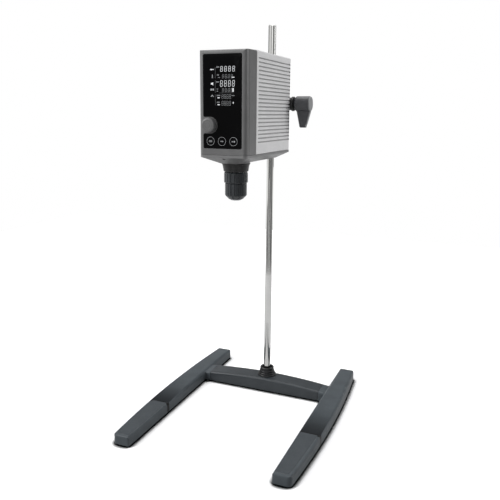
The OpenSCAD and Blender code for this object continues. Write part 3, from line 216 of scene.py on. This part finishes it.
def build_painted_crevice_shade(g, i):
    """Painted shade in seams and corners: 0.85 of near black where little open sky is left."""
    mask = g.span(g.open_sky(i["Reach"], 6), 0.62, 0.3)
    return g.mix(g.math("MULTIPLY", mask, CREVICE_SHADE_SHARE), i["Color"], CREVICE_SHADE_COLOR), mask


COLOR_AND_MASK = [("Color", "Color"), ("Mask", "Float")]
NORMAL_AND_MASK = [("Normal", "Vector"), ("Mask", "Float")]
PAINTED_CREVICE_SHADE = effect("painted_crevice_shade", [
    ("Color", "Color", WHITE), ("Reach", "Float", 0.003),
], COLOR_AND_MASK, build_painted_crevice_shade)
GRAIN = effect("grain", [
    ("Vector", "Vector", None), ("Scale", "Float", 900.0), ("Depth", "Float", 0.00002),
    ("Normal", "Vector", None),
], NORMAL_AND_MASK, build_grain)
STREAKS = effect("streaks", [
    ("Vector", "Vector", None), ("Stretch", "Vector", (1, 1, 1)), ("Depth", "Float", 0.00002),
    ("Normal", "Vector", None),
], NORMAL_AND_MASK, build_streaks)
HANDLED = effect("handled", [("Vector", "Vector", None)], [("Mask", "Float")], build_handled)
DUST = effect("dust", [
    ("Color", "Color", WHITE), ("Vector", "Vector", None), ("Amount", "Float", 0.1),
], COLOR_AND_MASK, build_dust)
EDGES = effect("edges", [
    ("Vector", "Vector", None), ("Radius", "Float", 0.0004),
], NORMAL_AND_MASK, build_edges)


def lifted(base, factor, add=0.0):
    """A colour times a factor plus an amount, no value above one."""
    return tuple(min(1.0, c * factor + add) for c in base[:3]) + (1.0,)


def painted_groove_shade(g, shade, where, inner, outer, color, top):
    """Painted shade in the housing's groove floors: the shaded grey from the inner distance off the middle
    plane, the ribs' own colour from the outer distance, and nothing changed above the top."""
    across = g.math("ABSOLUTE", g.axis(where, X))
    ribs = g.math("MAXIMUM", g.span(across, inner, outer), g.math("GREATER_THAN", g.axis(where, Z), top))
    return g.mix(ribs, srgb(*color), shade)


def painted_leg_shade(g, shade, where, start, end, color):
    """A painted shade on a leg's top behind its pad, for the darker reflection there: 0.92 of the colour
    at the start, none at the end, times the share that faces up, and none in front of the start."""
    along = g.axis(where, Y)
    near = g.math("MULTIPLY", g.span(along, start, end, 0.92, 0.0), g.span(g.axis(g.normal(), Z), 0.6, 0.9))
    near = g.math("MULTIPLY", near, g.math("GREATER_THAN", along, start))
    return g.mix(near, shade, srgb(*color))


def painted_seam_shadow(g, shade, where, middle, half_width, color):
    """A painted shadow across a leg at its pad's seam: full within the half width, gone at one and a half
    times it.
    """
    off = g.math("ABSOLUTE", g.math("SUBTRACT", g.axis(where, Y), middle))
    return g.mix(g.span(off, half_width, half_width * 1.5), srgb(*color), shade)


def surface(name, color, rough, metal=0.0, grain=(900.0, 0.00002), streaks=None, mottle=0.06,
            edge=0.12, radius=0.0005, dust=0.06, smudge=0.08, specular=0.5, glow=0.0,
            grooves=None, reach=0.003, painted_fade=None, line=None):
    """One object material. Colour is mottled, lifted along edges as wear and a painted highlight, and
    dusted from above, then takes painted shade on the groove floors, painted shade on a leg's top
    behind its pad, a painted shadow at the pad's seam and painted shade in seams and corners; the
    normal is a rounded edge, then streaks, then grain; the roughness is its own value plus shares of
    smudges, streaks and grain, no more than one."""
    mat = bpy.data.materials.new(name)
    mat.use_nodes = True
    g = Graph(mat.node_tree)
    shader = mat.node_tree.nodes["Principled BSDF"]
    where = g.place()
    edges = g.use(EDGES, {"Vector": where, "Radius": radius})
    normal = edges["Normal"]
    base = srgb(*color)
    patches = g.span(g.noise(where, 34.0, 3.0), 0.35, 0.65)
    shade = g.mix(patches, lifted(base, 1 - mottle), lifted(base, 1 + mottle))
    rough_at = g.math("ADD", g.math("MULTIPLY", g.use(HANDLED, {"Vector": where})["Mask"], smudge), rough)
    if streaks:
        stretch, depth, share = streaks
        lines = g.use(STREAKS, {"Vector": where, "Stretch": stretch, "Depth": depth, "Normal": normal})
        normal = lines["Normal"]
        rough_at = g.math("ADD", rough_at, g.math("MULTIPLY", lines["Mask"], share))
    if grain:
        scale, depth = grain
        grained = g.use(GRAIN, {"Vector": where, "Scale": scale, "Depth": depth, "Normal": normal})
        normal = grained["Normal"]
        rough_at = g.math("ADD", rough_at, g.math("MULTIPLY", grained["Mask"], 0.06))
    # lighter colour along rounded edges: partly edge wear, partly a painted highlight
    shade = g.mix(g.math("MULTIPLY", edges["Mask"], edge), shade, lifted(base, 1.5, 0.03))
    shade = g.use(DUST, {"Color": shade, "Vector": where, "Amount": dust})["Color"]
    # painted shade on the groove floors
    if grooves:
        shade = painted_groove_shade(g, shade, where, *grooves)
    # painted shade on a leg's top behind its pad, for a darker reflection
    if painted_fade:
        shade = painted_leg_shade(g, shade, where, *painted_fade)
    # painted shadow across a leg at its pad's seam
    if line:
        shade = painted_seam_shadow(g, shade, where, *line)
    # painted shade in seams and corners, where little open sky is left
    if reach:
        shade = g.use(PAINTED_CREVICE_SHADE, {"Color": shade, "Reach": reach})["Color"]
    g.put(shader.inputs["Base Color"], shade)
    g.put(shader.inputs["Roughness"], g.math("MINIMUM", rough_at, 1.0))
    g.put(shader.inputs["Normal"], normal)
    g.put(shader.inputs["Metallic"], metal)
    g.put(shader.inputs["Specular IOR Level"], specular)
    if glow:
        g.put(shader.inputs["Emission Color"], base)
        g.put(shader.inputs["Emission Strength"], glow)
    return mat


ALONG_Y = (2600.0, 9.0, 2600.0)
ALONG_Z = (2600.0, 2600.0, 14.0)
ROUND_Z = (60.0, 60.0, 4200.0)
CAST = dict(rough=0.28, grain=(1300.0, 0.00003), mottle=0.07, edge=0.7, radius=0.002, dust=0.03)
MOULDED = dict(grain=(2800.0, 0.000016), mottle=0.04, edge=0.35, radius=0.0008, dust=0.03)
PRINTED = dict(rough=0.4, grain=None, mottle=0.0, edge=0.0, dust=0.0)
# painted shade on the groove floors: inner and outer distance off the middle, its grey, the top it stops at
GROOVE_SHADE = (0.0446, 0.0466, (176, 176, 176), SHELL_TOP - 0.0008)
# painted shade behind a pad: where it starts and ends along the leg, and its colour
PAINTED_SHADE_BEHIND_PAD = (SEAM_Y, SEAM_Y + 0.12, (16, 19, 23))
# painted shadow at a pad's seam: its place along the leg, half width and near-black colour
PAD_SEAM_SHADOW = (SEAM_Y, 0.0036, (3, 3, 4))

MATERIALS = {
    "cast": dict(CAST, color=(52, 57, 61)),
    "leg": dict(CAST, color=(76, 82, 86), specular=0.18, painted_fade=PAINTED_SHADE_BEHIND_PAD, line=PAD_SEAM_SHADOW),
    "pad": dict(color=(68, 73, 77), specular=0.18, rough=0.38, grain=(2600.0, 0.00002), mottle=0.05,
                edge=0.2, dust=0.04),
    "foot": dict(color=(14, 14, 14), rough=0.8, grain=(1800.0, 0.00004), dust=0.0),
    "chrome": dict(color=(222, 222, 220), rough=0.045, metal=1.0, grain=None,
                   streaks=(ALONG_Z, 0.0000008, 0.03), mottle=0.02, dust=0.02, smudge=0.03),
    "steel": dict(color=(168, 170, 174), rough=0.32, metal=1.0, grain=(3000.0, 0.000008)),
    "dark_steel": dict(color=(36, 36, 38), rough=0.4, metal=0.4, grain=(3000.0, 0.000008), dust=0.0),
    "ground": dict(color=(184, 186, 190), rough=0.2, metal=1.0, grain=None,
                   streaks=(ROUND_Z, 0.000002, 0.12)),
    "extrusion": dict(color=(228, 228, 228), rough=0.42, metal=0.2, grain=(2400.0, 0.000006),
                      streaks=(ALONG_Y, 0.000003, 0.1), mottle=0.025, edge=0.5, dust=0.03,
                      grooves=GROOVE_SHADE, reach=None),
    "aluminium": dict(color=(196, 197, 199), rough=0.36, metal=0.9, grain=(2000.0, 0.00001)),
    "bezel": dict(MOULDED, color=(113, 113, 113), rough=0.26),
    # the bezel's grey plastic, painted lighter than the bezel for the light it lacks facing down
    "chin": dict(MOULDED, color=(128, 128, 128), rough=0.3),
    "knob": dict(color=(106, 106, 106), rough=0.36, grain=(3000.0, 0.000015), mottle=0.03, edge=0.3),
    "ring": dict(color=(84, 84, 84), rough=0.4, grain=None, mottle=0.02, edge=0.0, dust=0.0,
                 reach=None),
    "window": dict(color=(3, 3, 4), rough=0.08, grain=None, mottle=0.02, edge=0.1, dust=0.01,
                   specular=0.3),
    "lcd": dict(color=(6, 7, 8), rough=0.3),
    "board": dict(color=(20, 92, 46), rough=0.45),
    "copper": dict(color=(196, 120, 72), rough=0.34, metal=1.0),
    "brass": dict(color=(206, 172, 98), rough=0.28, metal=1.0),
    "chuck": dict(color=(46, 50, 53), rough=0.2, grain=(2400.0, 0.000014), mottle=0.05, edge=0.4,
                  dust=0.03, specular=0.6),
    "guard": dict(color=(36, 36, 36), rough=0.34, grain=(2400.0, 0.000018), mottle=0.05, edge=0.3,
                  dust=0.03),
    "handle": dict(color=(86, 87, 90), rough=0.3, grain=(2400.0, 0.00002), mottle=0.05, edge=0.3),
    # the handle's dark plastic, painted lighter on the cap for the light falling on its side
    "cap": dict(color=(152, 153, 154), rough=0.42, grain=(2600.0, 0.00002), mottle=0.03),
    "black": dict(color=(24, 25, 26), rough=0.4, grain=(2200.0, 0.000025), edge=0.25),
    "rear": dict(color=(40, 41, 43), rough=0.42, grain=(2400.0, 0.000025), mottle=0.05, edge=0.3),
    "collar": dict(color=(20, 21, 24), rough=0.32, grain=(2000.0, 0.00002), edge=0.4, dust=0.05),
    "belt": dict(color=(18, 18, 18), rough=0.7, grain=(1500.0, 0.00005)),
    "print": dict(PRINTED, color=(220, 222, 224), glow=0.4),
    "print_soft": dict(PRINTED, color=(158, 160, 162), glow=0.25),
    "print_faint": dict(PRINTED, color=(86, 87, 88), glow=0.2),
    "print_ring": dict(PRINTED, color=(190, 192, 194), rough=0.5, mottle=0.03),
}
MATS = {name: surface(name, **look) for name, look in MATERIALS.items()}

LOOKS = {
    "cast": "crossbar",
    "leg": "leg_left leg_right",
    "pad": "leg_pads",
    "foot": "stand_feet",
    "chrome": "stand_rod motor_shaft",
    "ground": "spindle bearing_outer_rings bearing_inner_rings jaw_1 jaw_2 jaw_3 chuck_core",
    "steel": "rod_bolt spindle_nut motor_rotor motor_screws clamp_screw encoder_body encoder_shaft",
    "dark_steel": "leg_screws chassis_screws rear_screws clamp_bolts",
    "extrusion": "head_shell",
    "aluminium": "chassis bearing_housing driven_pulley drive_pulley",
    "bezel": "front_bezel",
    "chin": "bottom_cover",
    "knob": "speed_knob",
    "window": "display_window",
    "lcd": "lcd_module",
    "board": "display_board power_board",
    "copper": "motor_stator touch_sensors",
    "brass": "board_standoffs inlet_pins clamp_pad chuck_nut",
    "chuck": "chuck_rear_sleeve chuck_front_sleeve",
    "guard": "chuck_guard",
    "handle": "clamp_handle",
    "cap": "handle_cap",
    "rear": "rear_cover",
    "black": "mains_inlet fuse_drawer switch_frame power_rocker clamp_bush clamp_block clamp_collar"
             " motor_can",
    "collar": "rod_collar",
    "belt": "drive_belt",
}
for look, nodes in LOOKS.items():
    for node in nodes.split():
        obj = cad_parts[node]
        obj.data.materials.clear()
        obj.data.materials.append(MATS[look])


# ---------------------------------------------------------------- geometry helpers
def piece(name, points, faces, body, look):
    """One mesh object that rides on a body."""
    mesh = bpy.data.meshes.new(name)
    mesh.from_pydata([tuple(p) for p in np.asarray(points, float)], [], [tuple(f) for f in faces])
    mesh.materials.append(MATS[look])
    obj = bpy.data.objects.new(name, mesh)
    scene.collection.objects.link(obj)
    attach(obj, body)
    return obj


def prisms(outlines, y_front, depth):
    """Flat outlines in the XZ plane as one mesh of thin prisms; an outline runs anticlockwise
    seen from the front, -Y. Each prism has a front, a back and one side per edge."""
    points, faces = [], []
    for outline in outlines:
        n, start = len(outline), len(points)
        points += [(x, y_front, z) for x, z in outline]
        points += [(x, y_front + depth, z) for x, z in outline]
        faces.append([start + k for k in range(n)])
        faces.append([start + n + k for k in reversed(range(n))])
        faces += [[start + k, start + n + k, start + n + (k + 1) % n, start + (k + 1) % n]
                  for k in range(n)]
    return points, faces


def band(cx, cz, radius, width, steps):
    """Quads round a whole ring, seen from the front; its edges lie half the width inside and
    outside the radius."""
    angles = np.radians(np.linspace(0.0, 360.0, steps + 1))
    c, s = np.cos(angles), np.sin(angles)
    inner, outer = radius - width / 2, radius + width / 2
    return [[(cx + inner * c[k], cz + inner * s[k]), (cx + outer * c[k], cz + outer * s[k]),
             (cx + outer * c[k + 1], cz + outer * s[k + 1]),
             (cx + inner * c[k + 1], cz + inner * s[k + 1])]
            for k in range(steps)]


def bar(x0, z0, x1, z1):
    """An upright rectangle between two corners, as a list of one outline."""
    return [[(x0, z0), (x1, z0), (x1, z1), (x0, z1)]]


DIGIT_LEAN = 0.06
BAR_GAP = 0.18


def digit(x, z, w, h, t):
    """The seven bars of a lit digit 8 whose lower left corner is x, z. Each bar is a hexagon of
    thickness t that stops a share of t short of its neighbours; a point leans right by the lean
    times its height."""
    out = []
    gap = t * BAR_GAP

    def lean(px, pz):
        return (x + px + DIGIT_LEAN * pz, z + pz)
    for level in (t / 2, h / 2, h - t / 2):
        a, b = t / 2 + gap, w - t / 2 - gap
        out.append([lean(a, level), lean(a + t / 2, level - t / 2), lean(b - t / 2, level - t / 2),
                    lean(b, level), lean(b - t / 2, level + t / 2), lean(a + t / 2, level + t / 2)])
    for side in (t / 2, w - t / 2):
        for low in (t / 2, h / 2):
            a, b = low + gap, low + h / 2 - t / 2 - gap
            out.append([lean(side, a), lean(side + t / 2, a + t / 2), lean(side + t / 2, b - t / 2),
                        lean(side, b), lean(side - t / 2, b - t / 2), lean(side - t / 2, a + t / 2)])
    return out


def digits(x, z, w, h, t, pitch):
    """A row of four digits."""
    return [outline for k in range(4) for outline in digit(x + k * pitch, z, w, h, t)]


# ---------------------------------------------------------------- display and keys
# Places and sizes here are millimetres on the face: x from the middle, z from the housing's seam.
PRINT_LIFT = 0.00006
LARGE_DIGITS = (                       # x, z, width, height, bar, pitch
    (-4.15, 147.6, 4.64, 9.3, 0.72, 7.82), (-4.46, 121.7, 4.64, 11.0, 0.72, 7.86))
SMALL_DIGITS = (                       # x, z, height, pitch
    (-0.4, 136.3, 6.6, 5.7), (-0.4, 112.5, 6.4, 5.7), (-1.4, 100.9, 7.4, 4.9), (-1.6, 88.7, 8.0, 4.9))
SMALL_WIDTH, SMALL_BAR = 3.3, 0.36
TALL_CAPTIONS = (                      # x, z, number of bars
    (-11.6, 154.6, 4), (-12.0, 128.9, 4), (-10.4, 140.9, 3), (-10.8, 105.4, 5), (-10.6, 93.2, 4))
LOW_CAPTIONS = ((-8.6, 137.0, 3), (-11.0, 117.0, 2), (-11.0, 113.0, 2), (18.6, 105.4, 4))
UNIT_BARS = (                          # left, low, right, high
    (-9.6, 101.6, -5.2, 103.2), (-9.6, 89.4, -5.0, 91.0), (18.4, 136.9, 23.6, 138.4),
    (19.4, 112.6, 22.4, 119.0), (20.8, 92.0, 22.4, 95.2))
BRACKETS = ((136.4, 155.4), (111.2, 133.0), (89.4, 108.6))
ARROW_MARK = [(-24.4, 151.6), (-21.6, 153.3), (-21.6, 152.2), (-16.8, 152.2), (-16.8, 151.0),
              (-21.6, 151.0), (-21.6, 149.9)]
HORN_MARK = [(-22.6, 125.6), (-20.4, 125.6), (-18.2, 123.8), (-18.2, 129.8), (-20.4, 128.6),
             (-22.6, 128.6)]
PEAK_MARK = [(-23.4, 104.0), (-21.9, 104.0), (-20.0, 106.2), (-18.1, 104.0), (-16.6, 104.0),
             (-20.0, 108.0)]


def face_print(name, shapes, look):
    """Flat shapes on the display window, as prisms 0.9 of the print's lift deep."""
    outlines = [[(x * MM, HEAD_Z + z * MM) for x, z in outline] for outline in shapes]
    points, faces = prisms(outlines, FACE_Y - PRINT_LIFT, PRINT_LIFT * 0.9)
    return piece(name, points, faces, "head", look)


def ticks(x, z, count, w, h, pitch):
    """A short row of upright bars, as a caption too small to read."""
    return [q for k in range(count) for q in bar(x + k * pitch, z, x + k * pitch + w, z + h)]


def display():
    """Lit display: two rows of large digits, four of small ones, their captions, a rule, three
    brackets and five marks down the left side."""
    bright, middle, faint = [], [], []
    for row in LARGE_DIGITS:
        bright += digits(*row)
    for x, z, h, pitch in SMALL_DIGITS:
        middle += digits(x, z, SMALL_WIDTH, h, SMALL_BAR, pitch)
    for x, z, count in TALL_CAPTIONS:
        middle += ticks(x, z, count, 0.75, 2.2, 1.45)
    for x, z, count in LOW_CAPTIONS:
        middle += ticks(x, z, count, 0.8, 1.5, 1.5)
    for corners in UNIT_BARS:
        bright += bar(*corners)
    faint += bar(-6.6, 110.6, 23.4, 111.1)
    for low, high in BRACKETS:
        faint += bar(-14.3, low, -13.7, high)
    bright += [ARROW_MARK]
    middle += bar(-20.3, 136.6, -19.0, 142.8) + bar(-20.9, 136.6, -18.4, 138.0)
    bright += [HORN_MARK]
    middle += bar(-23.6, 115.2, -20.6, 118.4) + bar(-19.6, 115.2, -16.6, 118.4)
    middle += [PEAK_MARK]
    face_print("display_bright", bright, "print")
    face_print("display_captions", middle, "print_soft")
    face_print("display_rules", faint, "print_faint")


def touch_keys():
    """Printed ring round each touch key, with a plain sign in it: lines, arrows, play and stop."""
    left, middle, right = -24.0, -1.0, 22.0
    key_z, ring_radius, ring_width = 25.0, 7.6, 0.55
    rings, signs = [], []
    for x in (left, middle, right):
        rings += band(x, key_z, ring_radius, ring_width, 56)
    for k in range(3):
        signs += bar(-27.4, 25.9 - 1.3 * k, -20.6, 26.5 - 1.3 * k)
    for side in (-1, 1):
        x = middle + side * 0.8
        signs += [[(x, 26.5), (x, 23.5), (x + side * 2.4, key_z)][::side]]
    signs += [[(18.9, 23.4), (21.4, key_z), (18.9, 26.6)]] + bar(22.4, 23.6, 25.2, 26.4)
    face_print("touch_key_rings", rings, "print_ring")
    face_print("touch_key_signs", signs, "print_soft")


def knob_rings():
    """Two turned rings in the end face of the speed knob, concentric with it."""
    knob_low, knob_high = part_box("speed_knob")
    x, z = (1000 * (knob_low[k] + knob_high[k]) / 2 for k in (X, Z))
    quads = band(x, z, 8.6, 0.5, 64) + band(x, z, 4.6, 0.4, 48)
    outlines = [[(px * MM, pz * MM) for px, pz in quad] for quad in quads]
    proud, depth = 0.00005, 0.00045
    points, faces = prisms(outlines, knob_low[1] - proud, depth)
    piece("knob_rings", points, faces, "speed_knob", "ring")


def rocker_marks():
    """A bar on the upper half of the rocker and a ring on the lower half. The two halves meet in a
    crest, and each mark's depth is the crest's plus its half's slope times the height over it."""
    middle, crest_y, crest_z, lift = 0.030, 0.11558, 0.5918, 0.00008
    for name, shapes, slope in (
            ("rocker_mark_on", bar(-0.4, 3.2, 0.4, 7.4), -0.036),
            ("rocker_mark_off", band(0.0, -5.4, 1.9, 0.7, 32), -0.2111)):
        outlines = [[(middle + x * MM, crest_z + z * MM) for x, z in reversed(outline)]
                    for outline in shapes]
        points, faces = prisms(outlines, lift, -lift * 0.9)
        points = np.array(points)
        points[:, Y] += crest_y + slope * (points[:, Z] - crest_z)
        piece(name, points, faces, "rocker", "print_ring")


display()
touch_keys()
knob_rings()
rocker_marks()

# ---------------------------------------------------------------- camera, light and floor
AZIMUTH, PITCH, ROLL = 22.41, 12.87, 0.50
CAMERA = (0.47233, ROD_Y - 1.25945, 0.64431)
SENSOR = 36.0
FOCAL, WIDTH = 598.88, 500.0           # focal length and image width in one unit


def camera():
    """The fitted camera. Ahead is the azimuth round the stand and the pitch below level; right and
    up are then turned by the roll; the lens is the focal length times the sensor's width over
    the image's width."""
    data = bpy.data.cameras.new("cam")
    data.sensor_width = SENSOR
    data.lens = FOCAL * SENSOR / WIDTH
    cam = bpy.data.objects.new("cam", data)
    scene.collection.objects.link(cam)
    a, p, r = math.radians(AZIMUTH), math.radians(PITCH), math.radians(ROLL)
    ahead = Vector((-math.sin(a) * math.cos(p), math.cos(a) * math.cos(p), -math.sin(p)))
    side = Vector((math.cos(a), math.sin(a), 0))
    over = side.cross(ahead)
    right = side * math.cos(r) + over * math.sin(r)
    up = over * math.cos(r) - side * math.sin(r)
    turn = Matrix((right, up, -ahead)).transposed().to_4x4()
    turn.translation = Vector(CAMERA)
    cam.matrix_world = turn
    scene.camera = cam
    scene.view_settings.view_transform = "Standard"


def area_light(name, place, target, size, power):
    """A rectangular lamp at a place, turned to a target."""
    data = bpy.data.lights.new(name, "AREA")
    data.shape = "RECTANGLE"
    data.size, data.size_y = size
    data.energy = power
    obj = bpy.data.objects.new(name, data)
    obj.location = place
    obj.rotation_euler = (Vector(target) - Vector(place)).to_track_quat("-Z", "Y").to_euler()
    scene.collection.objects.link(obj)


def white_for_rays(g):
    """One where a ray comes from the camera, or off metal or through glass."""
    path = g.node("ShaderNodeLightPath").outputs
    either = g.math("MAXIMUM", path["Is Camera Ray"], path["Is Glossy Ray"])
    return g.math("MAXIMUM", either, path["Is Transmission Ray"])


def surroundings():
    """World that reads white to the camera and in gloss, and lights as a dim grey."""
    world = bpy.data.worlds.new("world")
    scene.world = world
    world.use_nodes = True
    g = Graph(world.node_tree)
    back = world.node_tree.nodes["Background"]
    g.put(back.inputs["Color"], g.mix(white_for_rays(g), (0.32, 0.32, 0.33, 1), WHITE))


def stage_sheet(name, points, mat):
    """A sheet of points[row][column] that stands round the object."""
    rows, cols = len(points), len(points[0])
    flat = [p for row in points for p in row]
    mesh = bpy.data.meshes.new(name)
    mesh.from_pydata(flat, [], [(r * cols + c, r * cols + c + 1, (r + 1) * cols + c + 1, (r + 1) * cols + c)
                                for r in range(rows - 1) for c in range(cols - 1)])
    mesh.materials.append(mat)
    obj = bpy.data.objects.new(name, mesh)
    scene.collection.objects.link(obj)
    return obj


def floor():
    """Pale floor. The camera sees white with a painted contact shadow, near black in its base colour,
    where little open sky is left; gloss sees a light grey and other rays a mid grey. Its glow, for the
    camera alone, is a share of the open sky, which deepens the painted shadow, plus a rise to one with
    the distance from the middle."""
    mat = bpy.data.materials.new("floor")
    mat.use_nodes = True
    g = Graph(mat.node_tree)
    shader = mat.node_tree.nodes["Principled BSDF"]
    seen = white_for_rays(g)
    direct = g.node("ShaderNodeLightPath").outputs["Is Camera Ray"]
    open_sky = g.open_sky(0.016, 8)
    # painted contact shadow: near black in the base colour where little open sky is left
    contact = g.mix(g.span(open_sky, 0.62, 0.88), (0.002, 0.004, 0.004, 1), grey(0.98))
    pale = g.mix(seen, grey(0.4), grey(0.66))
    g.put(shader.inputs["Base Color"], g.mix(direct, pale, contact))
    g.put(shader.inputs["Roughness"], 0.8)
    g.put(shader.inputs["Specular IOR Level"], 0.0)
    g.put(shader.inputs["Emission Color"], WHITE)
    away = g.node("ShaderNodeVectorMath", {0: g.place()}, operation="LENGTH").outputs["Value"]
    lift = g.math("ADD", g.span(open_sky, 0.62, 0.95, 0.0, 0.35), g.span(away, 0.5, 1.5))
    g.put(shader.inputs["Emission Strength"], g.math("MULTIPLY", direct, lift))
    stage_sheet("floor", [[(-2, -2, 0), (2, -2, 0)], [(-2, 2, 0), (2, 2, 0)]], mat)


CARD_STRIPS = 12


def card(name, start, end, radius, low, high, levels):
    """A curved studio card round the stand, seen only in gloss. Angles run rightwards from the
    camera's side; levels are (height, brightness) pairs, each placed on the ramp at its height
    divided by the card's."""
    mat = bpy.data.materials.new(name)
    mat.use_nodes = True
    g = Graph(mat.node_tree)
    ramp = g.node("ShaderNodeValToRGB")
    g.put(ramp.inputs[0], g.math("DIVIDE", g.axis(g.place(), Z), high))
    marks = ramp.color_ramp.elements
    while len(marks) < len(levels):
        marks.new(0.5)
    for mark, (z, level) in zip(marks, levels):
        mark.position = z / high
        mark.color = grey(level)
    glow = g.node("ShaderNodeEmission", {"Color": ramp.outputs[0], "Strength": 1.0})
    g.put(mat.node_tree.nodes["Material Output"].inputs["Surface"], glow.outputs[0])
    facing = math.radians(-90 + AZIMUTH)
    angles = [facing + math.radians(start + (end - start) * k / CARD_STRIPS)
              for k in range(CARD_STRIPS + 1)]
    rows = [[(radius * math.cos(t), ROD_Y + radius * math.sin(t), z) for t in angles]
            for z in (low, high)]
    obj = stage_sheet(name, rows, mat)
    obj.visible_camera = obj.visible_diffuse = obj.visible_transmission = obj.visible_shadow = False


def front_levels(low, chuck, head, top):
    """Brightness up a front card, one value for each part of the stirrer that reflects it: the
    lower rod, the chuck, the head and the rod over it. The foot of the card is half the lower
    rod's value plus 0.3, nearer to the floor's."""
    return [(0.0, 0.5 * low + 0.3), (0.07, low), (0.27, low), (0.31, chuck), (0.47, chuck),
            (0.51, head), (0.82, head), (0.86, top), (3.0, 0.6)]


FRONT_CARDS = (                        # start, end, lower rod, chuck, head, upper rod
    (-100, -58, 0.42, 0.90, 0.50, 0.80), (-58, -36, 0.02, 0.10, 0.14, 0.80),
    (-36, -12, 0.62, 0.60, 0.80, 0.34), (-12, 12, 0.10, 0.12, 0.60, 1.30),
    (12, 22, 0.90, 0.40, 0.30, 0.60), (22, 50, 0.20, 0.16, 0.03, 0.14),
    (50, 86, 0.12, 0.24, 0.03, 0.60), (86, 100, 0.60, 0.60, 0.06, 0.75))
SIDE_LEVELS = [(0.3, 0.30), (0.66, 0.28), (0.95, 0.16), (1.8, 0.1), (2.6, 0.8)]
REAR_LEVELS = [(0.3, 0.85), (0.66, 0.7), (0.95, 0.1), (1.8, 0.1), (2.6, 0.8)]


camera()
area_light("key", (-3.0, -2.4, 2.5), (0, 0, 0.4), (1.8, 2.0), 146)
area_light("fill", (3.0, 1.7, 1.9), (0, 0, 0.45), (1.6, 2.2), 48)
area_light("top", (0.0, 0.5, 3.6), (0, 0, 0.3), (2.6, 2.6), 43)
surroundings()
floor()
for k, (start, end, *parts) in enumerate(FRONT_CARDS):
    card("card_%d" % k, start, end, 1.05, 0.0, 3.0, front_levels(*parts))
card("card_side", 105, 158, 2.6, 0.3, 3.2, SIDE_LEVELS)
card("card_rear", 158, 255, 2.6, 0.3, 3.2, REAR_LEVELS)
